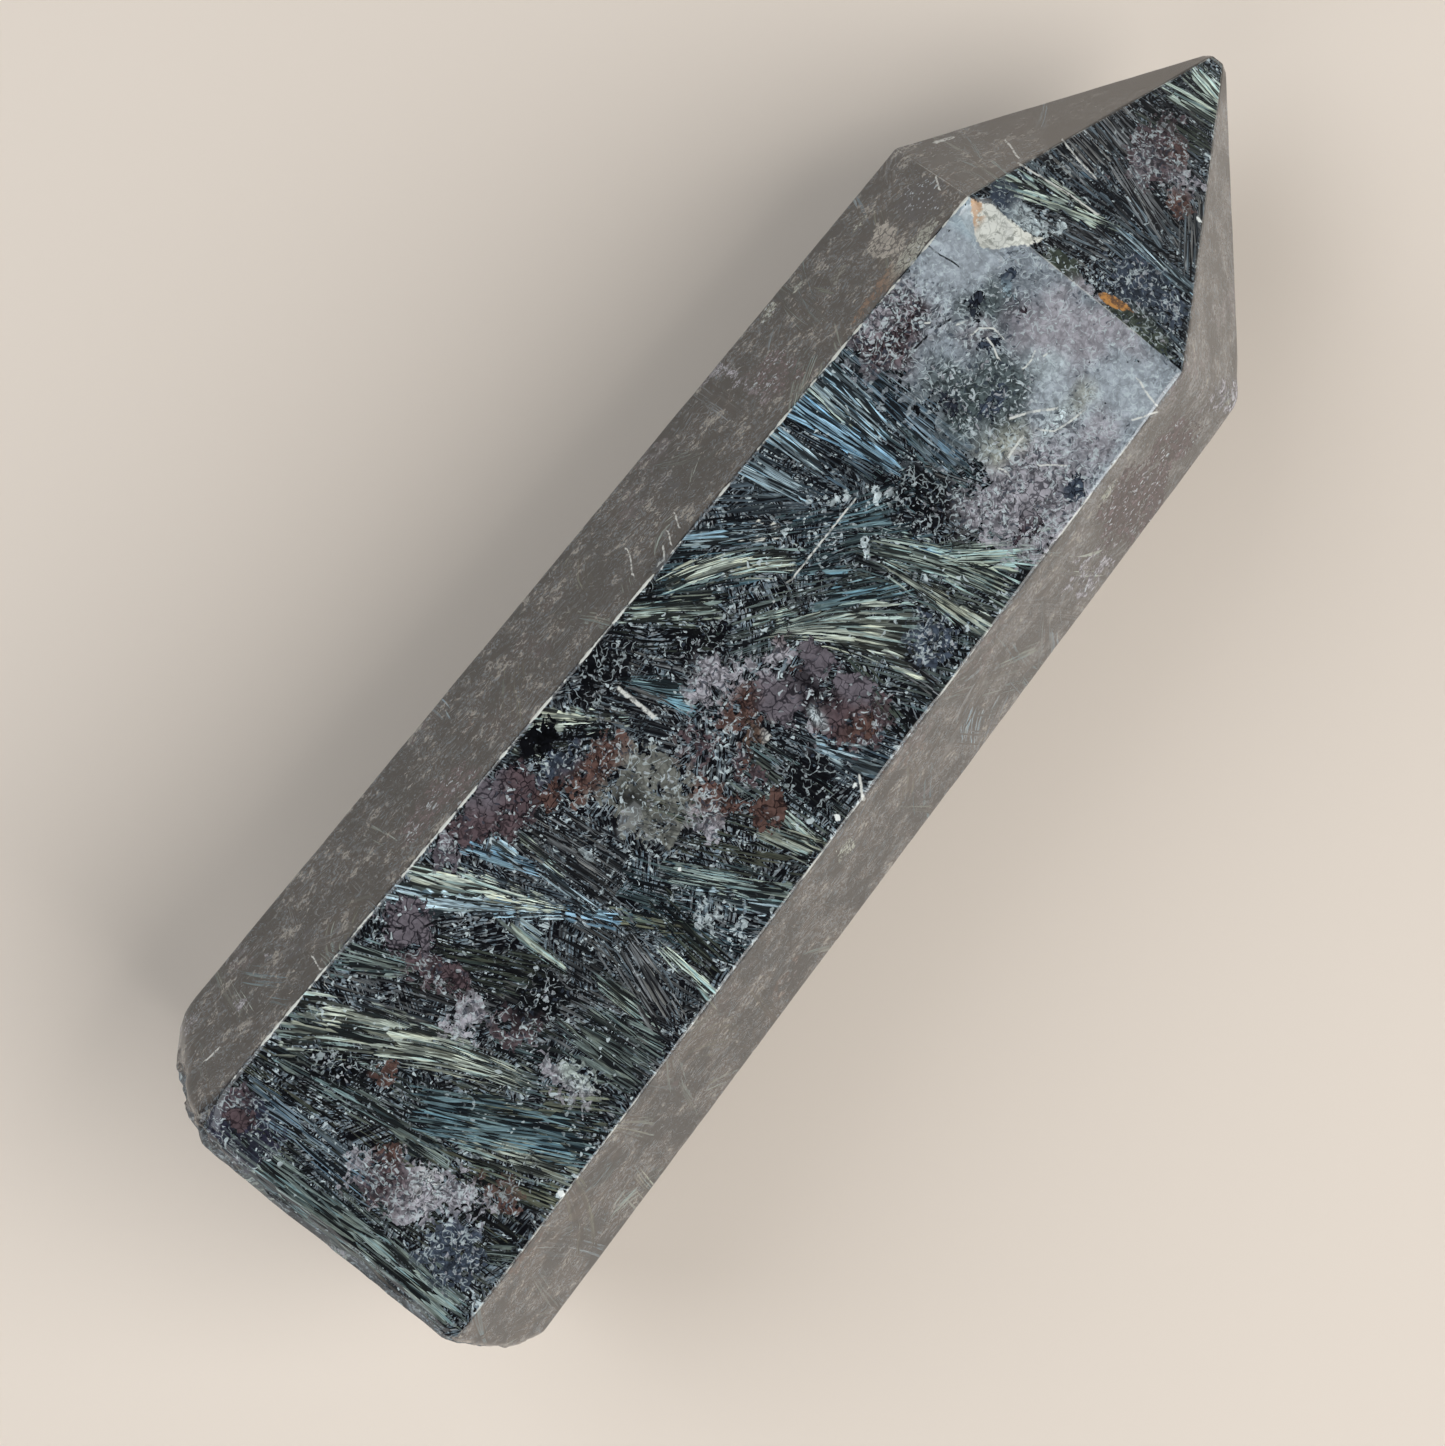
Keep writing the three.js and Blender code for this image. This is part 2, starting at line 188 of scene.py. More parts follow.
# A grain patch: its middle, its half lengths along x and y, its tint, how strongly it covers the
# needles, and how coarse its speckle is (0 is smooth stone, 1 is all grains). Later ones cover
# earlier ones.
TOP_PATCHES = [
    (-41, 8, 2.5, 2.8, "indigo", 0.8, 0.6), (-39.5, 9.6, 1.2, 0.8, "purple_brown", 0.8, 0.6),
    (-38.5, -8, 2.5, 2.2, "blue_dark", 0.75, 0.9), (-37.4, -1.6, 1.6, 1.8, "purple_brown", 0.8, 0.8),
    (-35.6, -0.4, 1, 0.8, "red_brown", 0.8, 0.8), (-37.6, 1, 1.6, 0.9, "lilac", 0.55, 1),
    (-36.4, -4, 2.3, 1.7, "lilac", 0.85, 0.9), (-35, -6, 1.3, 1.8, "lilac", 0.7, 0.9),
    (-36, -3.6, 1.1, 0.7, "white", 0.6, 0.8), (-33.2, -8, 0.9, 1.7, "red_brown", 0.7, 0.8),
    (-32, 3.2, 1.1, 0.9, "red_brown", 0.6, 0.9), (-33.6, 6.2, 1.4, 1.6, "ink", 0.8, 0.8),
    (-24.8, 4.5, 1.1, 2.6, "purple_brown", 0.85, 0.8), (-24.8, 8.6, 0.8, 1.6, "ink", 0.8, 0.6),
    (-25.6, 1.2, 1.7, 1.2, "lilac", 0.7, 1), (-24.4, -1.6, 1.1, 2, "purple_brown", 0.7, 0.9),
    (-25, -6.5, 1.2, 2.2, "lilac", 0.65, 1), (-24.2, -6.8, 0.7, 1.6, "pale_green", 0.55, 0.9),
    (-21.6, -1.8, 2, 1.6, "ink", 0.85, 0.5), (-17.9, 8.8, 1.3, 1.1, "purple", 0.8, 0.8),
    (-12.6, 6.6, 2.6, 0.9, "purple_brown", 0.85, 0.7), (-8.4, 6.9, 2, 0.9, "blue_dark", 0.8, 0.9),
    (-7.2, 4.9, 2.5, 1.2, "red_brown", 0.85, 0.8), (-6.4, 1.3, 2.8, 2.6, "feldspar", 0.72, 0.5),
    (-8.6, -1.2, 1.2, 1.2, "feldspar", 0.6, 0.8), (-7.6, 1.6, 0.7, 0.9, "ink", 0.8, 0.3),
    (-5.6, -3.4, 1.4, 1.3, "lilac", 0.8, 1), (-4.2, -2.6, 1.1, 1.3, "red_brown", 0.75, 0.9),
    (-1.3, -3, 0.8, 1.3, "purple_brown", 0.8, 0.9), (-2.4, 0.4, 1.6, 1.3, "purple_brown", 0.6, 0.9),
    (0.8, 2.2, 1.7, 1.2, "lilac", 0.6, 1), (3.2, 0.9, 1.7, 0.9, "lilac", 0.6, 1),
    (1.5, -0.6, 2, 1.2, "red_brown", 0.75, 0.7), (5.2, -2, 1, 0.6, "red_brown", 0.8, 0.6),
    (6.6, -2.2, 1.2, 1.6, "ink", 0.7, 0.9), (5.8, -7.4, 2.2, 1.5, "purple_brown", 0.9, 0.6),
    (4.4, -5.2, 1.7, 1, "lilac", 0.65, 1), (0.8, -6.6, 1.6, 1.9, "ink", 0.9, 0.2),
    (-11.2, -6.8, 0.6, 0.5, "cyan_white", 0.6, 1),
    *[(x, y, size, size * 0.7, "cyan_white", 0.6, 1.0) for x, y, size in LACE],
    (-2.2, 8.4, 2.8, 1.3, "ink", 0.7, 0.3), (3.4, 3.9, 2.3, 1.8, "ink", 0.6, 0.5),
    (13, -7.6, 2, 1.6, "blue_dark", 0.7, 0.95), (20, -1.6, 1.8, 2.6, "ink", 0.8, 0.6),
    (21.4, 7, 0.5, 0.5, "ink", 0.5, 0.4), (-31, -7.6, 0.9, 1.4, "ink", 0.5, 0.4),
]
MILK_PATCHES = [
    (33.6, 0, 8.9, 14, "smoke", 1, 0.3), (24.6, -6.4, 4.6, 3.2, "lilac", 0.9, 0.75),
    (22, -4.8, 1.8, 1.2, "lilac", 0.7, 0.9), (27.4, 7.2, 3.1, 2.3, "purple_brown", 1, 0.95),
    (28.2, 8.4, 2.2, 1, "lilac", 0.7, 1), (27.2, 3.6, 2.3, 1.7, "smoke", 0.95, 0.2),
    (34.4, 7.2, 2.9, 2.6, "milk", 1, 0.02), (31.2, 6.6, 1.1, 2, "milk", 0.8, 0.3),
    (34, -1.8, 2.7, 2.9, "milk_warm", 0.95, 0.15), (30.5, -2.6, 2.4, 1.9, "milk", 0.9, 0.15),
    (26.3, -3.2, 1.9, 1.1, "beige", 0.95, 0.3), (33.4, -7.4, 3.4, 2.4, "milk", 0.95, 0.04),
    (30.2, -8.2, 1.4, 1.4, "milk_warm", 0.8, 0.3), (23.6, -8.8, 2.4, 1, "lilac", 0.8, 0.8),
    (36.2, -4, 0.7, 3, "lilac", 0.8, 0.2), (27.8, -0.6, 3.4, 2.2, "gloom", 0.9, 0.6),
    (26.2, 2.2, 1.6, 2.4, "gloom", 0.8, 0.7), (31.8, 3.4, 2.2, 1.6, "gloom", 0.85, 0.5),
    (33.2, 1.4, 1.6, 1.2, "purple", 0.6, 0.3), (36.2, 7.4, 1.5, 1.7, "pale_blue", 0.45, 0.05),
    (31.2, -5.2, 1.3, 0.9, "beige", 0.7, 0.3), (31.8, -2.3, 1.3, 1, "cyan_white", 0.35, 0.3),
    (29.4, -4.8, 1.3, 0.7, "cyan_white", 0.55, 0.5), (29.2, 5.6, 1.2, 0.7, "milk", 0.7, 0.6),
    (30.4, 3, 1.1, 1.2, "milk_warm", 0.6, 0.7),
]
FRONT_PATCHES = [
    (38.7, 6.6, 0.9, 1.9, "blue_dark", 0.9, 0.1), (38.6, 4.6, 0.9, 1.2, "cyan_white", 0.7, 1),
    (39.6, 3, 0.7, 0.9, "cyan_white", 0.5, 1), (39.8, -4, 1.8, 3.2, "blue_dark", 0.85, 0.9),
    (47.2, 1, 2.6, 2, "purple_brown", 0.85, 0.8), (46, 1.2, 1.2, 0.8, "lilac", 0.35, 1),
    (47, -1.6, 0.8, 1.5, "lilac", 0.55, 1), (45.8, -2.6, 0.8, 1, "red_brown", 0.85, 0.6),
    (47.9, -0.3, 1, 0.8, "red_brown", 0.6, 0.8), (37.5, 1.2, 0.8, 1.4, "dark_olive", 0.9, 0.3),
    (37.5, -5.5, 0.9, 3, "dark_olive", 0.8, 0.5), (37.3, -1.2, 0.5, 1.3, "lilac", 0.75, 0.4),
    (43.2, 5.4, 1.3, 1.5, "ink", 0.6, 0.5),
]
# The same for crisp bits that lie over the needles.
TOP_BITS = [
    (-23.4, 8, 2.1, 1.9, "purple", 0.85, 0.12), (-13.4, 9.1, 1.9, 1, "purple", 0.9, 0.1),
    (-15.6, 8.7, 1.5, 1, "purple_brown", 0.85, 0.35), (-13.8, 7.1, 1.7, 1, "purple_brown", 0.8, 0.4),
    (-11.6, 7.7, 1.4, 1.3, "purple_brown", 0.8, 0.4), (-10.6, 5.9, 1.5, 0.8, "red_brown", 0.8, 0.5),
    (-24.4, 3.2, 0.9, 1.6, "purple_brown", 0.85, 0.25), (-8.4, 8.8, 1.4, 1, "ink", 0.8, 0.15),
    (-7.6, 2.6, 1.2, 0.7, "beige", 0.5, 0.5), (-2.4, -5.9, 1.3, 1.3, "red_brown", 0.9, 0.2),
    (-1.2, -3.3, 0.7, 0.5, "red_brown", 0.8, 0.4), (-3.8, -3.7, 0.8, 0.7, "red_brown", 0.75, 0.6),
    (-7.2, 4.9, 2, 0.9, "red_brown", 0.6, 0.8), (5.6, 0.2, 1.7, 0.8, "lilac", 0.7, 1),
    (5, -3.6, 1, 2.2, "ink", 0.8, 0.95), (3.5, -2.2, 1.5, 1.9, "purple", 0.95, 0.1),
    (4.6, -5.9, 1.5, 1.3, "purple_brown", 0.9, 0.3), (7, -2.1, 1.1, 1.4, "purple", 0.95, 0.1),
    (7.3, -5.4, 1.1, 1.6, "purple", 0.95, 0.08), (5.4, -7.3, 1.3, 0.7, "red_brown", 0.8, 0.5),
    (4.1, -4.9, 0.5, 0.5, "cyan_white", 0.8, 0.9), (6.7, 0.5, 0.5, 0.4, "red_brown", 0.85, 0.2),
    (2.4, 0, 1, 0.9, "red_brown", 0.85, 0.6), (0.5, -2, 1, 0.9, "brown", 0.8, 0.6),
    (1.7, 2.1, 1.4, 1.1, "lilac", 0.75, 1), (1.3, -2.8, 0.35, 0.2, "bone", 0.9, 0.1),
    (-36.2, -3.9, 1.4, 1, "lilac", 0.7, 0.8), (-40.2, 8.6, 1, 0.9, "purple_brown", 0.8, 0.2),
    (24.3, 2.9, 0.5, 0.6, "ink", 0.6, 0.8), (27.4, -0.9, 1.4, 0.8, "blue_dark", 0.6, 0.9),
    (25.6, 1.6, 0.7, 1.2, "night", 0.6, 0.7), (30.2, 1.8, 0.8, 0.6, "blue_dark", 0.75, 0.2),
    (31.9, 4.2, 0.9, 0.6, "night", 0.7, 0.6), (33.6, 1.6, 0.9, 0.7, "plum", 0.5, 0.6),
    (34.7, 3.5, 0.7, 0.6, "blue_dark", 0.9, 0.05), (33.9, 2.9, 0.5, 0.7, "pale_blue", 0.7, 0.05),
    (29.3, -4.9, 0.9, 0.6, "cyan_white", 0.8, 0.6), (26.2, -8.2, 1, 0.8, "blue_dark", 0.85, 0.8),
    (24.5, -6.9, 1.4, 1, "lilac", 0.8, 0.08), (22.6, -7.6, 1.6, 0.8, "plum", 0.5, 0.9),
]
LEFT_BITS = [
    (31.5, 11.1, 1.15, 1.15, "fleck", 1, 0.05), (27.8, 12.4, 0.9, 0.3, "feldspar", 0.8, 0.2),
    (35, 11.4, 1.9, 1.4, "night", 0.85, 0.5), (29.5, 9.6, 1.1, 0.5, "rust", 0.85, 0.2),
    (27.2, 9.6, 1.4, 0.3, "rust", 0.6, 0.3), (32.4, 9.5, 2.4, 0.4, "beige", 0.85, 0.2),
    (23, 14.4, 0.9, 0.3, "beige", 0.8, 0.7), (25.6, 14, 0.6, 0.25, "beige", 0.8, 0.7),
    (31.4, 13.4, 0.8, 0.2, "beige", 0.8, 0.3), (18.4, 13.4, 0.5, 2.2, "lilac", 0.6, 0.9),
    (17.6, 14.8, 1, 0.4, "lilac", 0.6, 0.9), (20.2, 11.6, 2, 1.2, "purple_brown", 0.7, 0.8),
    (-16, 11.4, 4, 1.1, "purple_brown", 0.7, 0.8), (-38.5, 15.4, 2.2, 0.6, "lilac", 0.45, 1),
    (-34.2, 13.6, 0.5, 0.4, "lilac", 0.7, 0.8), (-30.7, 14, 0.4, 0.3, "lilac", 0.8, 0.5),
    (-3.6, 12.2, 0.8, 0.5, "plum", 0.6, 0.4),
]
RIGHT_BITS = [
    (28, -12.2, 3.4, 1.5, "purple_brown", 0.75, 0.7), (22.6, -12.6, 1.8, 1.4, "lilac", 0.5, 0.9),
    (33.5, -11.8, 2.4, 1.2, "purple_brown", 0.6, 0.7), (27.6, -10.5, 0.9, 0.2, "beige", 0.9, 0.3),
    (-1.4, -11.4, 0.8, 0.35, "beige", 0.8, 0.4), (37.4, -12.6, 1.6, 1.2, "lilac", 0.55, 0.9),
]
# Single pale specks: where they are and their radius.
SPECKS = [
    (-13.8, -8.1, 0.38), (8.1, 2.3, 0.36), (-41.2, 7.2, 0.25), (-0.2, -9.8, 0.3), (2.2, -9.4, 0.3),
    (5.6, 9.75, 0.4), (-26.4, -4.6, 0.28), (45.5, -4, 0.25), (-9, 5.1, 0.22), (-30.9, -10.9, 0.3),
    (-9.3, -3.8, 0.18), (-9, -4.3, 0.18),
]
# The chipped corner beside the front facet, and the orange sliver on the shoulder, as outlines.
CHIP_OUTLINE = [
    (37.2, 8.6), (37.9, 7.3), (37.7, 6.3), (37.7, 5.1), (37.9, 3.9), (38.4, 2.8), (37.4, 3.5), (36.2, 4.8),
    (35.4, 5.4), (35, 6.3), (35.7, 7.2),
]
SLIVER_OUTLINE = [
    (37.5, -1.6), (38, -2.3), (38.15, -3.5), (38.25, -5), (37.75, -4.1), (37.4, -3.2), (37.25, -2.3),
]
# Thin lines: half their width, 0 for pale or 1 for dark, and their points.
CRACKS = [
    (0.07, 0, [(24.4, -3.6), (25.2, -3.9), (26.1, -3.8), (27.1, -3.8), (28.2, -3.7)]),
    (0.08, 0, [(27.5, -2.4), (28.1, -2.8), (28.9, -3.4), (29.9, -4.4)]),
    (0.06, 0, [(28, -4.2), (28.6, -5.2), (29.7, -5.6), (31, -5.9)]),
    (0.05, 0, [(26.2, -5.8), (26.7, -6.3), (27.3, -7.2)]),
    (0.06, 0, [(29, 5.9), (29.6, 4.9), (30, 4.3), (30.6, 3.9)]),
    (0.05, 0, [(30.2, 3), (30.9, 2.9), (31.5, 2.1), (31.3, 1.2)]),
    (0.06, 0, [(34.1, -9.7), (34.3, -8.6), (34.8, -7.3)]), (0.06, 0, [(33.8, -9.7), (32.4, -8.8)]),
    (0.08, 1, [(27.2, 5.4), (28.8, 5.2), (29.8, 4.9), (30.8, 4.5)]), (0.06, 0, [(24.6, -3.9), (24.5, -4.7)]),
    (0.05, 0, [(30.6, -1.1), (31.5, -1.1), (32, -0.9)]), (0.05, 0, [(31.7, -1.5), (32.3, -1.6)]),
    (0.06, 0, [(30, 0.6), (30.7, 1.7), (30.7, 2.7)]),
    (0.06, 0, [(41, 7.6), (41.3, 5.2), (41.5, 3.7), (41.6, 1.4)]),
    (0.06, 0, [(44, 6.3), (43.6, 4.6), (43.4, 3)]),
    (0.06, 0, [(41.6, 9.2), (41.6, 8.8), (41.3, 8), (41.3, 7.4)]),
    (0.08, 0, [(38.6, 12.8), (39.2, 12.4), (39.7, 12)]),
    (0.06, 1, [(33.1, 9.2), (33, 8.3), (33.2, 7.1), (33.3, 6.4)]), (0.06, 0, [(36.9, 11.3), (36.4, 10.6)]),
    (0.06, 0, [(17, 2.3), (13, 2.3), (9.9, 2.3)]), (0.05, 0, [(5.1, 12.1), (4.8, 11.5), (3.9, 10.7)]),
    (0.06, 0, [(6.7, 10.3), (6.1, 9.7), (5.4, 9.8)]), (0.05, 0, [(7.7, 10.6), (7.1, 10)]),
    (0.05, 0, [(8.9, 11), (8.3, 10.3)]), (0.14, 0, [(-2.5, 6.8), (-2.45, 5.2), (-2.5, 3.8)]),
    (0.08, 1, [(-24.8, 10), (-23.2, 7.3), (-21.9, 6.7), (-20.7, 5.4)]),
    (0.08, 1, [(-25.8, 9.2), (-25, 7.5), (-23.8, 5.8), (-23.1, 5.7)]),
    (0.05, 1, [(-23.2, 7.3), (-23.9, 6.5)]), (0.05, 0, [(-28.8, 11.6), (-29.3, 10.5), (-28.8, 10.5)]),
    (0.05, 0, [(-38.8, 12.9), (-37.3, 12.7)]), (0.1, 0, [(2.9, -9.2), (1.8, -10.4)]),
]

# -------------------- the worn shape, in mm

LONG_EDGE_SOFTNESS = 0.2
TIP_EDGE_SOFTNESS = 0.16
RIM_RADII = (1.5, 2.8, 2.8, 1.5, 1.2, 1.0)  # one for each long facet's start
SHOULDER_SOFTNESS = (0.06, 0.1, 0.2, 0.2, 0.5, 0.55)  # one for each long facet's end
CORNER_CUTS = ((1, 3.4, 2.3), (4, 2.0, 1.3))  # edge, its start from the base, its depth there
WORN_TIP_X = 50.5
RIM_ROUGHNESS = 0.2
# A chip: its middle, its half lengths along and across the tower, and its depth.
CHIPS = (
    ((29.2, 6.5, 25.2), 1.6, 2.2, 0.4), ((-16.3, 0.7, 26.8), 1.3, 0.8, 0.3),
    ((-1.9, 9.72, 26.3), 0.9, 0.5, 0.25), ((-50.0, 5.5, 27.7), 0.6, 1.1, 0.2),
    ((-50.0, -3.2, 27.7), 0.6, 1.5, 0.25), ((-50.0, -8.4, 27.7), 0.6, 0.9, 0.2),
    ((-49.3, 14.2, 19.2), 0.8, 1.2, 0.25), ((-50.0, -13.4, 20.4), 0.6, 1.0, 0.2),
)

# -------------------- helpers for the mesh


def blend(low, high, value):
    """0 below low, 1 above high and smooth between them (low may be the greater one)."""
    t = np.clip((value - low) / (high - low), 0, 1)
    return t * t * (3 - 2 * t)


def lattice(cells, seed):
    """A repeatable number in -1..1 for each whole-numbered cell."""
    c = cells.astype(np.int64)
    h = c[:, 0] * 73856093 ^ c[:, 1] * 19349663 ^ c[:, 2] * 83492791 ^ seed * 2654435761
    h = (h ^ (h >> 13)) * 1274126177 & 0x7FFFFFFF
    h = (h ^ (h >> 16)) & 0xFFFF
    return h / 32767.5 - 1.0


def rough(points, size, seed):
    """Smooth noise in -1..1 whose lumps are about size mm across."""
    p = points / size
    whole = np.floor(p)
    f = p - whole
    f = f * f * (3 - 2 * f)
    total = 0
    for corner in np.ndindex(2, 2, 2):
        c = np.array(corner)
        weight = np.prod(np.where(c, f, 1 - f), axis=1)
        total = total + weight * lattice(whole + c, seed)
    return total


def lengths(vectors):
    """Each row's length, as a column."""
    return np.linalg.norm(vectors, axis=1)[:, None]


def main_planes(obj, count):
    """The largest flat faces of a mesh, as (outward normal, distance from the origin in mm)."""
    polygons = obj.data.polygons
    normals, centres = np.zeros((2, len(polygons) * 3))
    areas = np.zeros(len(polygons))
    polygons.foreach_get("normal", normals)
    polygons.foreach_get("center", centres)
    polygons.foreach_get("area", areas)
    normals = normals.reshape(-1, 3)
    offsets = (normals * centres.reshape(-1, 3)).sum(1) / MM
    found = []
    for i in np.argsort(-areas):
        for plane in found:
            if normals[i] @ plane[0] > 0.99995 and abs(offsets[i] - plane[1]) < 0.03:
                plane[2] += areas[i]
                break
        else:
            found.append([normals[i], offsets[i], areas[i]])
    found.sort(key=lambda plane: -plane[2])
    return [(normal, offset) for normal, offset, _ in found[:count]]


def turn(plane):
    """The facet's place round the tower: from the top one down the left side."""
    normal = plane[0]
    return (120 - math.degrees(math.atan2(normal[2], normal[1]))) % 360


def meet(*three):
    """The point where three planes meet."""
    return np.linalg.solve(np.array([p[0] for p in three]), np.array([p[1] for p in three]))


def stations(length, near, step):
    """Shares of a length: close together near both ends, as near says, and step apart between."""
    near = np.array(near)
    count = max(2, round((length - 2 * near[-1]) / step))
    middle = np.linspace(near[-1], length - near[-1], count)
    return np.concatenate([near[:-1], middle, (length - near[:-1])[::-1]]) / length


# -------------------- the stone's shape

SIDES = 6
TOP, LEFT, LOWER_LEFT, UNDERSIDE, LOWER_RIGHT, RIGHT = range(SIDES)
CAP, LONG, TIP = 0, 1, 2  # the zones along the tower
FACET_WIDTH, LONG_LENGTH, TIP_LENGTH, CAP_REACH = 16.5, 80.0, 25.0, 15.0  # rounded, in mm
EDGE_STEPS = (0, 0.06, 0.12, 0.2, 0.32, 0.5, 0.8, 1.2)
RIM_STEPS = (0, 0.08, 0.16, 0.26, 0.4, 0.6, 0.85, 1.1, 1.4, 1.7, 2.0, 2.4, 2.8, 3.3, 3.9)
CAP_STEPS = (*RIM_STEPS[1:], *np.arange(4.7, 14.5, 0.8))  # from the rim to the cap's middle
CELL = 0.6
SOFTEN_ROUNDS = 12

planes = main_planes(frame["nodes"]["stone_point"], 13)
base_plane = next(p for p in planes if p[0][0] < -0.9)
long_planes = sorted((p for p in planes if abs(p[0][0]) < 0.2), key=turn)
tip_planes = sorted((p for p in planes if p[0][0] > 0.2), key=turn)
pairs = list(zip(long_planes, long_planes[1:] + long_planes[:1]))
base_corner = np.array([meet(base_plane, *pair) for pair in pairs])
shoulder = np.array([meet(tip_plane, *pair) for tip_plane, pair in zip(tip_planes, pairs)])
sharp_tip = meet(*tip_planes[::2])
cap_middle = base_corner.mean(axis=0)
BASE_X = cap_middle[0]


def corner_cut(edge, start, depth):
    """The plane that grinds one side corner of the base back."""
    outward = pairs[edge][0][0] + pairs[edge][1][0]
    outward = outward / np.linalg.norm(outward)
    along = shoulder[edge] - base_corner[edge]
    begin = base_corner[edge] + along / along[0] * start
    end = base_corner[edge] - outward * depth
    normal = np.cross(end - begin, np.cross(outward, (1, 0, 0)))
    normal /= np.linalg.norm(normal) * (1 if normal[0] < 0 else -1)
    return normal, normal @ begin


def grid():
    """Rows of points on the sharp stone, each with its zone and its place there, and the columns."""
    fractions = stations(FACET_WIDTH, EDGE_STEPS, CELL)[:-1]
    side = np.repeat(np.arange(SIDES), len(fractions))
    part = np.tile(fractions, SIDES)[:, None]
    rim = base_corner[side - 1] * (1 - part) + base_corner[side] * part
    end = shoulder[side - 1] * (1 - part) + shoulder[side] * part
    cap_rows = 1 - np.array(CAP_STEPS)[::-1] / CAP_REACH
    long_rows = stations(LONG_LENGTH, RIM_STEPS, CELL)
    tip_rows = stations(TIP_LENGTH, EDGE_STEPS, CELL * 0.9)[1:-1]
    rows = [(CAP, v, cap_middle + (rim - cap_middle) * v) for v in cap_rows]
    rows += [(LONG, v, rim + (end - rim) * v) for v in long_rows]
    rows += [(TIP, v, end + (sharp_tip - end) * v) for v in tip_rows]
    return rows, side, part[:, 0]


def softness(points, zone, v, place):
    """How round the edges near each point are."""
    def around(values):
        nodes = np.concatenate([[k + 0.25, k + 0.75] for k in range(-1, SIDES + 1)])
        return np.interp(place, nodes, np.repeat([values[k % SIDES] for k in range(-1, SIDES + 1)], 2))

    rim = around(RIM_RADII)
    end = around(SHOULDER_SOFTNESS)
    plain = np.where(zone == TIP, TIP_EDGE_SOFTNESS, LONG_EDGE_SOFTNESS)
    from_base = points[:, 0] - BASE_X
    on_tip = np.where(zone == TIP, v * TIP_LENGTH, LONG_LENGTH)
    from_shoulder = np.where(zone == LONG, (1 - v) * LONG_LENGTH, on_tip)
    near_rim = np.where(zone == CAP, 1, 1 - blend(0, 1, from_base / (rim * 2)))
    near_end = 1 - blend(0.5, 4, from_shoulder)
    radius = plain + (rim - plain) * near_rim + (end - plain) * near_end
    return radius * (1 + 0.4 * rough(points, 3.5, 1) + 0.25 * rough(points, 0.9, 2))


def soften(points, radius):
    """Moves points on the sharp stone onto the worn one."""
    worn_tip = (np.array([1.0, 0, 0]), WORN_TIP_X)
    cuts = [corner_cut(*cut) for cut in CORNER_CUTS]
    all_planes = [base_plane, *long_planes, *tip_planes, worn_tip, *cuts]
    normals = np.array([p[0] for p in all_planes])
    offsets = np.array([p[1] for p in all_planes])
    for _ in range(SOFTEN_ROUNDS):
        over = np.maximum(points @ normals.T - offsets + radius[:, None], 0)
        size = np.maximum(lengths(over), 1e-9)
        gradient = over @ normals / size
        steepness = np.maximum(lengths(gradient) ** 2, 0.2)
        points = points - gradient * (size - radius[:, None]) / steepness
    return points, gradient / np.maximum(lengths(gradient), 1e-9)


def wear(points, outward):
    """Roughens the sawn rim and breaks the chips out."""
    from_base = points[:, 0] - BASE_X
    across = 1 - np.abs(outward[:, 0]) ** 4
    at_rim = (1 - blend(0.3, 1.6, from_base)) * blend(0.02, 0.3, -outward[:, 0]) * across
    grit = np.abs(rough(points, 0.9, 3)) + 0.6 * np.abs(rough(points, 0.4, 4))
    depth = at_rim * grit * RIM_ROUGHNESS
    for middle, along, wide, deep in CHIPS:
        q = lengths((points - middle) / (along, wide, max(along, wide)))[:, 0]
        q = q * (1 + 0.25 * rough(points, 0.8, 5))
        hollow = deep * (1 - blend(0.55, 1.0, q)) * (1 + 0.3 * rough(points, 0.5, 6))
        depth = np.maximum(depth, hollow)
    return points - outward * depth[:, None], depth


def build_stone():
    """The stone's vertices (mm), its faces, each face's zone and side, and how deep it is chipped."""
    rows, side, part = grid()
    columns = len(side)
    points = np.vstack([*(p for _, _, p in rows), cap_middle, sharp_tip])
    zone = np.append(np.repeat([z for z, _, _ in rows], columns), [CAP, TIP])
    v = np.append(np.repeat([v for _, v, _ in rows], columns), [0, 1])
    place = np.append(np.tile(side + part, len(rows)), [0.5, 0.5])
    points, outward = soften(points, softness(points, zone, v, place))
    points, depth = wear(points, outward)
    middle, tip = len(points) - 2, len(points) - 1
    last = (len(rows) - 1) * columns
    faces, zones = [], []
    for j in range(columns):
        n = (j + 1) % columns
        faces.append((middle, j, n))
        zones.append(CAP)
        for i in range(len(rows) - 1):
            low, high = i * columns, (i + 1) * columns
            faces.append((low + j, high + j, high + n, low + n))
            zones.append(CAP if rows[i][0] == CAP else rows[i + 1][0])
        faces.append((last + j, tip, last + n))
        zones.append(TIP)
    points = np.clip(points, np.array(cad_box[0]) / MM, np.array(cad_box[1]) / MM)
    return points, faces, np.array(zones), np.repeat(side, len(rows) + 1), depth


# -------------------- painting the marks

GROUND_LAYERS = (0, 1)
SPRAY_LAYERS = (2, 3, 4)
LAYERS = 5
COATS = 2  # grains under the needles, and crisp bits over them
SEED_STEP = 7.3  # sets each spray's pattern apart from the last one's
THINNEST = 0.06  # the least half width of a spray, in mm
HOLD = 0.8  # how firmly a spray keeps its faces from weaker ones that come later
GROUND_SHADE, GROUND_SHARE = 0.5, 0.65  # ground sprays are darker and thinner
CORNER_POWER = 2.6  # 2 makes a patch an ellipse, and more makes it squarer
FAR = 9.0  # farther than any line reaches, in mm
CRACK_REACH = 0.8  # a face takes the nearest crack within this, in mm
OUTSIDE = 2.0  # distances from outlines are kept within this, in mm
EDGE_WHITENESS = (1.0, 0.45, 0.4, 0.4, 0.45, 0.6)  # how worn white each long edge is
TIP_WHITENESS = 0.35

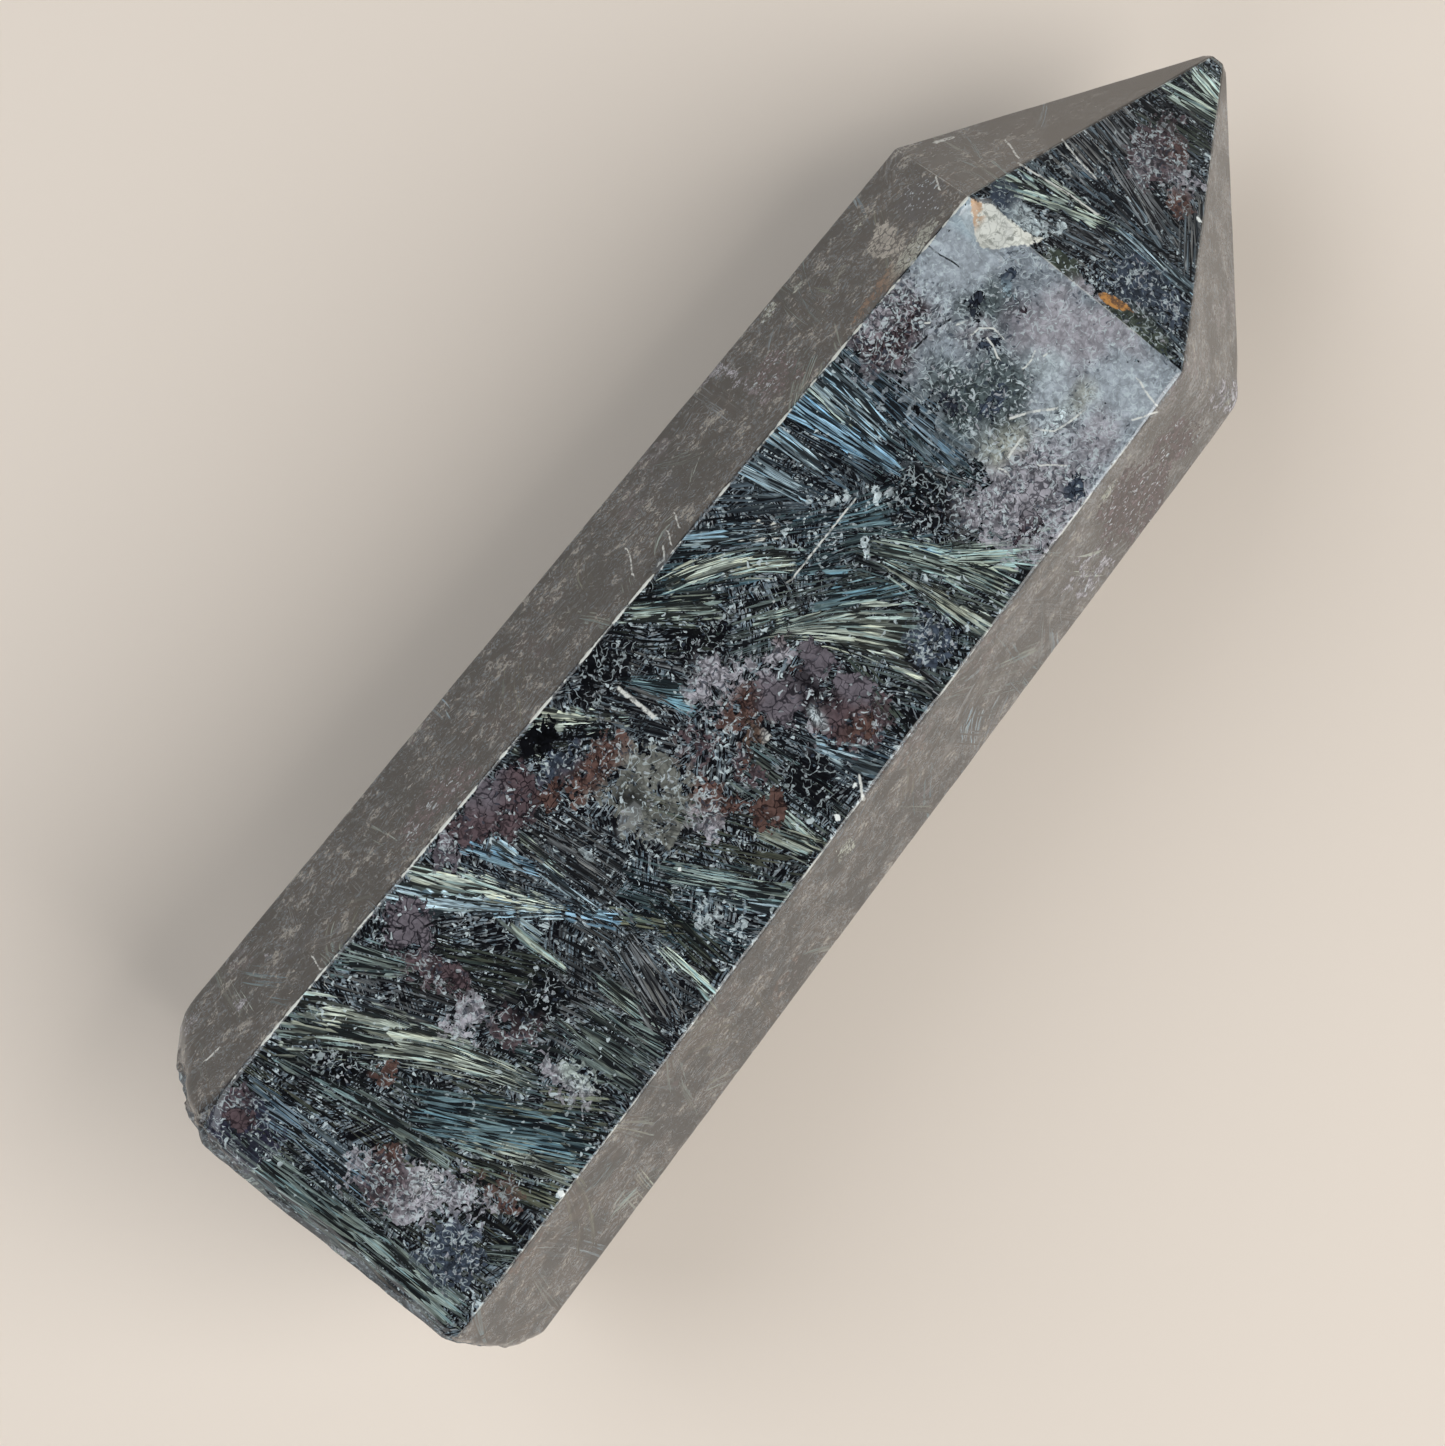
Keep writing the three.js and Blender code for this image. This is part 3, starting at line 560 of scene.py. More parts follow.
points, faces, face_zone, face_side, chip_depth = build_stone()
loop_vertex = np.concatenate(faces)
loop_face = np.repeat(np.arange(len(faces)), [len(f) for f in faces])
face_start = np.flatnonzero(np.diff(loop_face, prepend=-1))
loop_total = len(loop_vertex)
loop_point = points[loop_vertex]
loop_zone = face_zone[loop_face]
loop_side = face_side[loop_face]
across = np.array([np.cross(p[0], (1, 0, 0)) for p in long_planes])
across /= lengths(across)
seen = (loop_point - EYE)[:, :2] * ((EYE[2] - PLAN_HEIGHT) / (EYE[2] - loop_point[:, 2:]))


def local_plan(side):
    """Plan coordinates on a facet that the camera doesn't see: along the tower and across the facet."""
    middle = (base_corner[side - 1] + base_corner[side]) / 2
    return np.stack([loop_point[:, 0], (loop_point - middle) @ across[side]], axis=1)


def beside(plan, start, end):
    """Distances along and to the left of the line from start to end, and the line's length."""
    step = np.subtract(end, start)
    length = math.hypot(*step)
    way = step / length
    d = plan - start
    return d @ way, d @ (-way[1], way[0]), length


def away(s, t, length):
    """Distance from a line of that length, s along it and t beside it."""
    return np.hypot(np.maximum(np.maximum(-s, s - length), 0), t)


class Paint:
    """What is painted on the stone, one value for each corner of each face."""

    def __init__(self):
        self.place = np.zeros((LAYERS, loop_total, 3), np.float32)
        self.needle = np.zeros((LAYERS, loop_total, 4), np.float32)
        self.taken = np.zeros((LAYERS, len(faces)))
        self.grain = np.zeros((COATS, loop_total, 4), np.float32)
        self.speckle = np.zeros((COATS, loop_total), np.float32)
        broad = np.stack([rough(loop_point, 1.7, 11), rough(loop_point, 1.7, 12)], axis=1)
        fine = np.stack([rough(loop_point, 0.7, 13), rough(loop_point, 0.7, 14)], axis=1)
        self.lumps = broad * 0.5 + fine * 0.3

    def spray(self, chosen, plan, mark, seed, layers):
        """Lays one spray of needles on the chosen faces' corners, in the layer with most room."""
        ax, ay, bx, by, wide_a, wide_b, tint, strength, bend = (*mark, 0)[:9]
        s, t, length = beside(plan[chosen], (ax, ay), (bx, by))
        t = t - bend * 4 * (s / length) * (1 - s / length)
        part = np.clip(s / length, -0.3, 1.3)
        side = t / np.maximum((wide_a + (wide_b - wide_a) * part) / 2, THINNEST)
        overrun = 0.25 * min(length, 3)
        fade = 0.35 * min(length, 5)
        ends = (np.minimum(s, length - s) + overrun) / fade
        mask = np.clip(np.minimum((1.2 - np.abs(side)) / 0.6, ends), 0, 1)
        owner = loop_face[chosen]
        starts = np.flatnonzero(np.diff(owner, prepend=-1))
        strongest = np.maximum.reduceat(mask, starts)
        touched = strongest > 0
        reach = owner[starts][touched]
        if not len(reach):
            return
        layer = min(layers, key=lambda n: self.taken[n, reach].sum())
        free = reach[strongest[touched] * strength > self.taken[layer, reach]]
        self.taken[layer, free] = np.maximum(self.taken[layer, free], strength * HOLD)
        hit = np.isin(owner, free)
        mean_half = (wide_a + wide_b) / 4
        shade, share = (GROUND_SHADE, GROUND_SHARE) if layers is GROUND_LAYERS else (1, 1)
        where = chosen[hit]
        self.place[layer, where] = np.stack([s, side * mean_half, np.full(len(s), seed)], axis=1)[hit]
        self.needle[layer, where, :3] = linear(tint) * max(strength, 0.75) * shade
        self.needle[layer, where, 3] = mask[hit] * min(1, 0.25 + 0.75 * strength) * share

    def patch(self, chosen, plan, mark, coat):
        """Lays one patch of grains over what its coat already has."""
        x, y, half_x, half_y, tint, strength, speckle = mark
        lumps = self.lumps[chosen] * min(half_x, half_y, 1.6)
        d = np.abs((plan[chosen] - (x, y) + lumps) / (half_x, half_y))
        inside = (d ** CORNER_POWER).sum(1) ** (1 / CORNER_POWER)
        m = strength * (1 - blend(0.55, 1.4, inside))
        keep = 1 - m
        grain = self.grain[coat]
        grain[chosen, :3] = grain[chosen, :3] * keep[:, None] + linear(tint) * m[:, None]
        grain[chosen, 3] = 1 - (1 - grain[chosen, 3]) * keep
        self.speckle[coat, chosen] = self.speckle[coat, chosen] * keep + speckle * m


def corners_of(side, *zones):
    """The corners of the faces on one side of the tower."""
    return np.flatnonzero((loop_side == side) & np.isin(loop_zone, zones))


def outline_distance(outline):
    """Distance in mm inside (+) or outside (-) a closed outline on the top and front facets."""
    nearest = np.full(loop_total, FAR)
    inside = np.zeros(loop_total, bool)
    x, y = seen.T
    for (x1, y1), (x2, y2) in zip(outline, outline[1:] + outline[:1]):
        nearest = np.minimum(nearest, away(*beside(seen, (x1, y1), (x2, y2))))
        slope = (x2 - x1) / (y2 - y1 or 1e-9)
        inside ^= ((y > y1) != (y > y2)) & (x < (y - y1) * slope + x1)
    distance = np.clip(np.where(inside, nearest, -nearest), -OUTSIDE, OUTSIDE)
    return np.where(front, distance, -OUTSIDE)


def speck_distance(specks):
    """Distance in mm inside (+) or outside (-) the nearest speck on the top and front facets."""
    distance = [radius - np.linalg.norm(seen - (x, y), axis=1) for x, y, radius in specks]
    return np.where(front, np.maximum(np.max(distance, axis=0), -OUTSIDE), -OUTSIDE)


def crack_lines(cracks):
    """Each corner's place by its nearest crack: across it in half widths, inside its ends, its kind."""
    nearest = np.full(len(faces), CRACK_REACH)
    found = np.tile(np.array([FAR, 0.0, 0.0]), (loop_total, 1))
    for half, kind, line in cracks:
        far = np.full(loop_total, FAR)
        offset = np.full(loop_total, FAR)
        inside = np.zeros(loop_total)
        for i, (start, end) in enumerate(zip(line, line[1:])):
            s, t, length = beside(seen, start, end)
            distance = away(s, t, length)
            nearer = crackable & (distance < far)
            far[nearer] = distance[nearer]
            offset[nearer] = np.copysign(distance, t)[nearer]
            from_start = np.where(i == 0, s, 1.0)
            from_end = np.where(i == len(line) - 2, length - s, 1.0)
            inside[nearer] = np.minimum(from_start, from_end)[nearer]
        closest = np.minimum.reduceat(far, face_start)
        wins = closest < nearest
        nearest[wins] = closest[wins]
        hit = wins[loop_face]
        found[hit] = np.stack([offset / half, inside / 0.15 + 1, np.full(loop_total, kind)], axis=1)[hit]
    return found


def edge_lines():
    """Distance to the nearest edge in mm, and how worn white that edge is."""
    distance = np.full(loop_total, FAR)
    worn = np.zeros(loop_total)
    for edge in range(SIDES):
        for first, second, white in (
            (base_corner[edge], shoulder[edge], EDGE_WHITENESS[edge]),
            (shoulder[edge], sharp_tip, TIP_WHITENESS),
            (shoulder[edge - 1], shoulder[edge], TIP_WHITENESS),
        ):
            length = np.linalg.norm(second - first)
            way = (second - first) / length
            d = loop_point - first
            along = np.clip(d @ way, 0, length)
            far = np.linalg.norm(d - along[:, None] * way, axis=1)
            nearer = far < distance
            distance[nearer] = far[nearer]
            worn[nearer] = white
    return distance, worn


SPRAY_TINTS = ["cream", "green_grey", "olive", "blue_grey", "teal", "pale_green", "grey", "pale_blue"]
DARK_GRAINS = ["purple_brown", "plum", "red_brown", "ink", "purple", "night", "blue_dark"]
MIXED_GRAINS = DARK_GRAINS + ["lilac", "feldspar", "purple_brown", "lilac"]
SLANTED_SEED, HIDDEN_SEED, BASE_SEED = 40, 60, 90
ACROSS, STRAY = 90, 28  # most needles' direction from the tower's length and its spread, in degrees
ACROSS_SHARE = 0.8
FLATTENED = 0.45  # a mark's height on a slanted facet as seen from above
HIDDEN_MILK = [
    (30, 0, 4.8, 9.8, "smoke", 0.95, 0.15), (31, 3, 2.5, 2, "milk", 0.9, 0.1),
    (28, -4, 2.6, 2.2, "lilac", 0.9, 0.8), (31, -1, 1.5, 1.6, "night", 0.7, 0.8),
]


def random_sprays(rng, count, box, dim):
    """Sprays for a facet that isn't seen, most of them lying across the tower as in the seen ones."""
    x0, x1, y0, y1 = box
    marks = []
    for _ in range(count):
        x, y = rng.uniform(x0, x1), rng.uniform(y0, y1)
        lies_across = rng.random() < ACROSS_SHARE
        angle = math.radians(rng.normal(ACROSS, STRAY) if lies_across else rng.uniform(0, 180))
        reach = rng.uniform(3, 11) / 2
        dx, dy = math.cos(angle) * reach, math.sin(angle) * reach
        wide = rng.uniform(0.8, 3.2)
        flare = rng.uniform(0.3, 1.0)
        tint = SPRAY_TINTS[rng.integers(len(SPRAY_TINTS))]
        strength, bend = rng.uniform(0.55, 1.1) * dim, rng.uniform(-0.4, 0.4)
        marks.append((x - dx, y - dy, x + dx, y + dy, wide, wide * flare, tint, strength, bend))
    return marks


def random_patches(rng, count, box, tints):
    """Patches of grains for a facet that isn't seen."""
    x0, x1, y0, y1 = box
    return [
        (rng.uniform(x0, x1), rng.uniform(y0, y1), rng.uniform(0.7, 2.6), rng.uniform(0.6, 2.0),
         tints[rng.integers(len(tints))], rng.uniform(0.5, 0.95), rng.uniform(0.1, 1.0))
        for _ in range(count)
    ]


# A job is: corners, their plan coordinates, patches, crisp bits, ground sprays and sprays.


def slanted_side(side, low, high, bits, sprays):
    """A side facet that is seen at a slant: faint marks, flattened as they look from above."""
    rng = np.random.default_rng(SLANTED_SEED + side)
    box = (-43, 50, low, high)
    faint = random_sprays(rng, 46, box, 0.3)
    faint = [(ax, ay, bx, ay + (by - ay) * FLATTENED, *rest) for ax, ay, bx, by, *rest in faint]
    grains = random_patches(rng, 34, box, DARK_GRAINS)
    grains = [(x, y, wide, tall * 0.5, tint, strength * 0.6, speckle)
              for x, y, wide, tall, tint, strength, speckle in grains]
    return corners_of(side, LONG, TIP), seen, grains, bits, [], faint + sprays


def hidden_side(side):
    """A facet that isn't seen, in the same stone. The lower right one has no milky zone."""
    rng = np.random.default_rng(HIDDEN_SEED + side)
    box = (-50, 50, -9, 9)
    grains = random_patches(rng, 60, box, MIXED_GRAINS)
    ground = [(x, 10, x + rng.uniform(-2, 5), -10, 6, 6, "grey", 0.6) for x in range(-50, 52, 5)]
    bits = random_patches(rng, 22, box, MIXED_GRAINS)
    sprays = random_sprays(rng, 95, box, 0.9)
    milk = [] if side == LOWER_RIGHT else HIDDEN_MILK
    return corners_of(side, LONG, TIP), local_plan(side), grains + milk, bits, ground, sprays


def sawn_base():
    """The base, which isn't seen either."""
    rng = np.random.default_rng(BASE_SEED)
    box = (-15, 15, 0, 28)
    grains = random_patches(rng, 26, box, MIXED_GRAINS)
    bits = random_patches(rng, 6, box, MIXED_GRAINS)
    sprays = random_sprays(rng, 34, box, 0.7)
    return np.flatnonzero(loop_zone == CAP), loop_point[:, 1:], grains, bits, [], sprays


jobs = [
    (corners_of(TOP, LONG), seen, TOP_PATCHES + MILK_PATCHES, TOP_BITS, TOP_GROUND, TOP_SPRAYS),
    (corners_of(TOP, TIP), seen, FRONT_PATCHES, [], FRONT_GROUND, FRONT_SPRAYS),
    slanted_side(LEFT, 9, 17, LEFT_BITS, LEFT_SPRAYS),
    slanted_side(RIGHT, -15, -9, RIGHT_BITS, RIGHT_SPRAYS),
    *map(hidden_side, (LOWER_LEFT, UNDERSIDE, LOWER_RIGHT)),
    sawn_base(),
]
paint = Paint()
seed = 1.0
for chosen, plan, patches, bits, ground, sprays in jobs:
    for coat, marks in enumerate((patches, bits)):
        for mark in marks:
            paint.patch(chosen, plan, mark, coat)
    for marks, layers in ((ground, GROUND_LAYERS), (sprays, SPRAY_LAYERS)):
        for mark in sorted(marks, key=lambda m: -m[7]):
            seed += SEED_STEP
            paint.spray(chosen, plan, mark, seed, layers)

front = (loop_side == TOP) & (loop_zone != CAP)
slanted = np.isin(loop_side, (LEFT, RIGHT)) & (loop_zone != CAP)
crackable = front | slanted
look = np.where(loop_zone == CAP, 2, slanted)  # 2 on the base, 1 on the two side facets

# -------------------- the mesh object

mesh = bpy.data.meshes.new("stone_body")
mesh.from_pydata((points * MM).tolist(), [], faces)
mesh.shade_smooth()


def store(name, *values):
    """Keeps a vector (three values) or a colour (four) for each face corner on the mesh."""
    values = np.column_stack(values).astype(np.float32)
    kind, field = {3: ("FLOAT_VECTOR", "vector"), 4: ("FLOAT_COLOR", "color")}[values.shape[1]]
    mesh.attributes.new(name, kind, "CORNER").data.foreach_set(field, values.ravel())


for layer in range(LAYERS):
    store(f"needle_place_{layer}", paint.place[layer])
    store(f"needle_{layer}", paint.needle[layer])
for name, grain in zip(("grain", "bits"), paint.grain):
    store(name, grain[:, :3] / np.maximum(grain[:, 3:], 1e-4), grain[:, 3:])
store("surface", *paint.speckle, look)
store("crack", crack_lines(CRACKS))
store("edges", *edge_lines(), chip_depth[loop_vertex])
store("marks", *map(outline_distance, (CHIP_OUTLINE, SLIVER_OUTLINE)), speck_distance(SPECKS))

# -------------------- the unfolded map, in mm on a square

SHEET = 118.0
STRIP = 18.6  # one long facet's share of the sheet's width
STRIP_HEIGHT = 84.0
TIP_PAIR = 28.6  # two tip facets' share, the second one turned round and TIP_SECOND further on
TIP_SECOND = 9.6
CAP_PLACE = (87.6, 101.0)


def unfold():
    """Places each corner on the sheet: long facets side by side, tip facets in pairs and the base."""
    uv = np.zeros((loop_total, 2))
    for k in range(SIDES):
        on = (loop_side == k) & (loop_zone == LONG)
        uv[on] = local_plan(k)[on][:, ::-1] + ((k + 0.5) * STRIP + 0.6, 1.0 - BASE_X)
        on = (loop_side == k) & (loop_zone == TIP)
        first, second = shoulder[k - 1], shoulder[k]
        way = (second - first) / np.linalg.norm(second - first)
        up = np.cross(tip_planes[k][0], way)
        up *= np.sign((sharp_tip - first) @ up)
        flat = (loop_point[on] - first) @ np.stack([way, up], axis=1)
        flat = flat.max(0) - flat if k % 2 else flat - flat.min(0)
        uv[on] = flat + (0.8 + (k // 2) * TIP_PAIR + (k % 2) * TIP_SECOND, STRIP_HEIGHT + 1.5)
    on = loop_zone == CAP
    uv[on] = loop_point[on][:, [2, 1]] + CAP_PLACE
    return uv / SHEET


uv_map = mesh.uv_layers.new(name="OFBake")
uv_map.data.foreach_set("uv", unfold().astype(np.float32).ravel())

# -------------------- shader helpers


def arithmetic(operation, turned=False):
    """A method that adds a math node for an operator, with its two sides turned round or not."""
    def method(self, *others):
        values = (self, *others)
        return self.graph.math(operation, *(values[::-1] if turned else values))
    return method


class Value:
    """A node's output. Arithmetic on it adds math nodes."""

    def __init__(self, graph, socket):
        self.graph = graph
        self.socket = socket

    __add__ = arithmetic("ADD")
    __sub__ = arithmetic("SUBTRACT")
    __rsub__ = arithmetic("SUBTRACT", turned=True)
    __mul__ = arithmetic("MULTIPLY")
    __truediv__ = arithmetic("DIVIDE")
    __abs__ = arithmetic("ABSOLUTE")
    or_more = arithmetic("MAXIMUM")

    def ramp(self, low, high, to_low=0.0, to_high=1.0):
        """Goes smoothly from to_low to to_high as this goes from low to high."""
        inputs = {0: self, 1: low, 2: high, 3: to_low, 4: to_high}
        return self.graph.add("MapRange", inputs, interpolation_type="SMOOTHSTEP")


class Graph:
    """Short names for adding nodes. A call returns the new node's output, or several outputs."""

    def __init__(self, tree):
        self.tree = tree

    def feed(self, socket, value):
        """Links a value to a socket, or sets it there. A colour may be a tint's name."""
        if isinstance(value, Value):
            self.tree.links.new(value.socket, socket)
            return
        if isinstance(value, str):
            value = linear(value)
        if socket.type == "RGBA":
            value = (*value, 1)
        socket.default_value = value

    def add(self, kind, inputs=None, output=0, **settings):
        node = self.tree.nodes.new("ShaderNode" + kind)
        for name, value in settings.items():
            setattr(node, name, value)
        for name, value in (inputs or {}).items():
            self.feed(node.inputs[name], value)
        return Value(self, node.outputs[output])

    def every(self, kind, inputs, **settings):
        """All the outputs of a new node."""
        node = self.add(kind, inputs, **settings).socket.node
        return [Value(self, socket) for socket in node.outputs]

    def math(self, operation, *values):
        return self.add("Math", dict(enumerate(values)), operation=operation)

    def vector(self, operation, *values, output=0):
        return self.add("VectorMath", dict(enumerate(values)), output, operation=operation)

    def join(self, x, y, z=0.0):
        return self.add("CombineXYZ", {0: x, 1: y, 2: z})

    def split(self, value):
        return self.every("SeparateXYZ", {0: value})

    def mix(self, factor, a, b, blend_type="MIX"):
        return self.add("Mix", {0: factor, 6: a, 7: b}, 2, data_type="RGBA", blend_type=blend_type)

    def times(self, colour, shade):
        return self.mix(1.0, colour, shade, "MULTIPLY")

    def noise(self, place, scale, detail=2.0, output=0, dimensions="3D", roughness=0.5):
        inputs = {"Vector": place, "Scale": scale, "Detail": detail, "Roughness": roughness}
        return self.add("TexNoise", inputs, output, noise_dimensions=dimensions)

    def cells(self, place, scale=1.0, dimensions="3D"):
        """Three random numbers for the cell that a place is in."""
        inputs = {"Vector": place, "Scale": scale}
        cell = self.add("TexVoronoi", inputs, "Color", voronoi_dimensions=dimensions)
        return self.every("SeparateColor", {0: cell})

    def stored(self, name, output="Vector"):
        return self.add("Attribute", output=output, attribute_name=name)


# -------------------- the stone's material

BUNDLE = (0.7, 4.5)  # a bundle's width and length in mm
LATH_LENGTH = 2.0
STREAK = (0.05, 0.9)  # a streak's width and length in mm
HIDDEN_GROUND, HIDDEN_SPRAYS = 0.92, 0.6  # how much of the needles grains hide
FULL_TURN = 6.283
FELT_PATCH = 1.8  # short needles lie alike in patches about this wide, in mm
FELT_NEEDLE = (1 / 1.3, 1 / 0.09, 1 / 0.09)  # one over a short needle's reach and thickness
SAW_CENTRE = (-50.5, 60.0, 60.0)
SAW_ARCS = 5.0  # radians to a mm
# Linear colours of the painted sheen on the side facets, a painted reflection that is paler on the right
# facet as painted light: the left one, the right one, and the right one's milky part.
SIDE_SHEEN_PALE = ((0.060, 0.043, 0.035), (0.115, 0.096, 0.084), (0.215, 0.198, 0.185))
SIDE_SHEEN_DARK = ((0.006, 0.006, 0.007), (0.045, 0.043, 0.042), (0.130, 0.122, 0.115))
SIDE_DEEP = (0.006, 0.004, 0.003)

material = bpy.data.materials.new("polished_stone_needles")
material.use_nodes = True
material.node_tree.nodes.clear()
g = Graph(material.node_tree)

# What the looks below share: places in mm, what was painted, and noises.
place = g.vector("MULTIPLY", g.add("TexCoord", output="Object"), [1 / MM] * 3)
px, py, _ = g.split(place)
speckle, bit_speckle, look = g.split(g.stored("surface"))
side = g.math("COMPARE", look, 1.0, 0.3)
cap = g.math("GREATER_THAN", look, 1.5)
edge, edge_worn, chipped = g.split(g.stored("edges"))
chip, sliver, speck = g.split(g.stored("marks"))
jumble = g.vector("SUBTRACT", g.noise(place, 1.3, 1.0, output=1), [0.5] * 3)
moved = g.vector("ADD", place, jumble)
broad = g.noise(place, 0.3, 2.0)
fine = g.noise(place, 2.2, 3.0, roughness=0.65)
cloud = g.noise(place, 0.8, 4.0, roughness=0.6)
ragged = fine - 0.5
coarse = cloud - 0.5
small_light, small_hue, small_order = g.cells(moved, 5.0)
grain_light, grain_hue, grain_order = g.cells(moved, 2.4)
gap = g.add("TexVoronoi", {"Vector": moved, "Scale": 1.5}, feature="DISTANCE_TO_EDGE")
network = (ragged * 0.25 + gap).ramp(0.10, 0.03)
curl, bend, _ = g.split(jumble)
seam = abs(bend).ramp(0.045, 0.018) * cloud.ramp(0.54, 0.47)
thread = abs(curl).ramp(0.030, 0.010) * cloud.ramp(0.50, 0.60)
broken = chipped.ramp(0.03, 0.14)


def needle_group():
    """A bundle of fine needles: s runs along them and t across them, both in mm."""
    tree = bpy.data.node_groups.new("Needles", "ShaderNodeTree")
    for name, kind in (("Place", "Vector"), ("Tint", "Color"), ("Mask", "Float")):
        tree.interface.new_socket(name, in_out="INPUT", socket_type="NodeSocket" + kind)
    for name, kind in (("Colour", "Color"), ("Cover", "Float")):
        tree.interface.new_socket(name, in_out="OUTPUT", socket_type="NodeSocket" + kind)
    n = Graph(tree)
    source = tree.nodes.new("NodeGroupInput").outputs
    sink = tree.nodes.new("NodeGroupOutput").inputs
    s, t, seed = n.split(Value(n, source["Place"]))
    shift = seed * 3.17
    lean, glow, size = n.cells(n.join(t / BUNDLE[0] + shift, s / BUNDLE[1]), dimensions="2D")
    t = t + (lean - 0.5) * 0.16 * s
    lath = n.join(t / (size * 0.09 + 0.06) + shift, s / LATH_LENGTH)
    light, hue, order = n.cells(lath, dimensions="2D")
    streak = n.noise(n.join(t / STREAK[0] + shift, s / STREAK[1]), 1.0, dimensions="2D")
    strength = light.ramp(0.3, 1.0, 0.04, 1.2) * streak.ramp(0.3, 0.7, 0.5, 1.3) * (glow * 0.85 + 0.62)
    tint = Value(n, source["Tint"])
    cooler = n.times(tint, (0.84, 1.0, 1.10))
    warmer = n.times(tint, (1.06, 1.01, 0.93))
    tint = n.mix(hue.ramp(0.7, 0.9), tint, cooler)
    tint = n.mix(hue.ramp(0.35, 0.15), tint, warmer)
    n.feed(sink["Colour"], n.mix(1.0, n.times(tint, strength), "ink", "ADD"))
    n.feed(sink["Cover"], (Value(n, source["Mask"]) - order * 0.85).ramp(0.0, 0.15))
    return tree


def felt():
    """Dark short needles lying every way, with fine pale grit between them."""
    angle, lean, roll = g.cells(place, 1 / FELT_PATCH)
    spin = g.join((lean - 0.5) * 0.9, (roll - 0.5) * 0.9, angle * FULL_TURN)
    laid = g.add("VectorRotate", {"Vector": place, "Rotation": spin}, rotation_type="EULER_XYZ")
    light, hue, _ = g.cells(g.vector("MULTIPLY", laid, FELT_NEEDLE))
    light = light.ramp(0.5, 0.95).or_more(small_light.ramp(0.78, 0.95) * broad.ramp(0.4, 0.6))
    light = light * fine.ramp(0.3, 0.7, 0.2, 1.9) * broad.ramp(0.3, 0.65, 0.4, 1.2)
    colour = g.mix(light.or_more(thread * 0.8), "ink", g.mix(hue, "grey", "blue_grey"))
    grit = small_light.ramp(0.86, 0.92) * cloud.ramp(0.44, 0.56, 0.1, 0.85)
    return g.mix(grit * (1 - side * 0.8), colour, "cyan_white")


def mosaic(tint, rough_share, joints):
    """Flat stone where rough_share is 0, a mix of pale, dark and tinted bits where it is 1."""
    rest = 1 - rough_share
    dark = (rest * 0.36 + small_light).ramp(0.36, 0.31)
    pale = (small_light - rest * 0.28).ramp(0.72, 0.77)
    shade = fine.ramp(0.40, 0.60, -1.0, 1.0) * (rough_share * 0.18 + 0.11) + 1
    shade = shade * cloud.ramp(0.35, 0.65, 0.9, 1.1)
    shade = shade * ((grain_light - 0.5) * (rough_share * 0.6 + 0.15) + 1)
    dark_tint = g.times(tint, rest * 0.45 + 0.13)
    dark_tint = g.mix(small_hue.ramp(0.35, 0.65, 0.0, 0.6), dark_tint, "blue_dark")
    made = g.mix(pale * 0.8, g.times(tint, shade), g.mix(grain_hue, "lilac", "cyan_white"))
    made = g.mix(dark * 0.9, made, dark_tint)
    joint = (seam * (rough_share * 0.6 + 0.2)).or_more(network * joints)
    return g.mix(joint, made, g.vector("MULTIPLY", tint, (0.14, 0.14, 0.16)))


def grain_edge(alpha, order):
    """How far inside a patch's ragged border a point is."""
    return ragged * 0.45 + alpha + coarse * 1.3 - (order - 0.5) * 0.6


def grains(colour):
    """The patches of grains, with pale wisps. Also gives how much they cover."""
    tint = mosaic(g.stored("grain", "Color"), speckle, speckle * 0.5 + 0.12)
    wisp = abs(curl + bend).ramp(0.035, 0.010) * fine.ramp(0.42, 0.55, 0.0, 0.55)
    tint = g.mix(wisp.or_more(thread * 0.5), tint, "cyan_white")
    cover = grain_edge(g.stored("grain", "Alpha"), grain_order).ramp(0.46, 0.50)
    return g.mix(cover, colour, tint), cover


def needles(colour, grain_cover):
    """The sprays of needles, layer by layer, dimmed where grains cover them."""
    group = needle_group()
    for layer in range(LAYERS):
        hidden = HIDDEN_GROUND if layer in GROUND_LAYERS else HIDDEN_SPRAYS
        painted = f"needle_{layer}"
        inputs = {"Place": g.stored(f"needle_place_{layer}"), "Tint": g.stored(painted, "Color"),
                  "Mask": g.stored(painted, "Alpha")}
        tint, cover = g.every("Group", inputs, node_tree=group)
        colour = g.mix(cover * (1 - grain_cover * hidden), colour, tint)
    return colour


def side_facets(colour):
    """Clusters of pale flecks under a painted sheen, a brown-grey painted reflection that is smoother and
    paler on the right facet as painted light. The needles below show darker on the left facet, as painted
    shade, and the left facet turns near black at its tip end.
    """
    right = py.ramp(0.0, -1.0)
    milky = right * px.ramp(-25.0, 25.0)
    forward = px.ramp(35.0, 38.0, 1.0, 0.45)
    # Painted sheen: tones of a painted reflection, paler on the right facet as painted light; smooth is this
    # painted sheen's tone.
    pale, dark = [g.mix(milky, g.mix(right, *tones[:2]), tones[2]) for tones in (SIDE_SHEEN_PALE, SIDE_SHEEN_DARK)]
    smooth = g.mix((cloud * 0.4 + broad * 0.6).ramp(0.44, 0.56), dark, pale)
    # The needles show through the painted sheen, dimmed on the left facet as painted shade.
    made = g.mix(right * 0.25 + 0.3, g.times(colour, right * 0.3 + 0.7), smooth)
    shape = cloud * 0.5 + fine * 0.5 + broad.ramp(0.46, 0.60) * 0.045 - right * 0.02
    fleck = shape.ramp(0.592, 0.618) * (small_hue * 0.7 + 0.2)
    hair = thread * broad.ramp(0.4, 0.6, 0.15, 0.8) * (1 - right * 0.6)
    made = g.mix(fleck.or_more(hair) * (forward * 0.5 + 0.5), made, "fleck")
    made = g.mix(1 - forward, made, g.mix(right, SIDE_DEEP, made))
    return g.mix(side, colour, made)


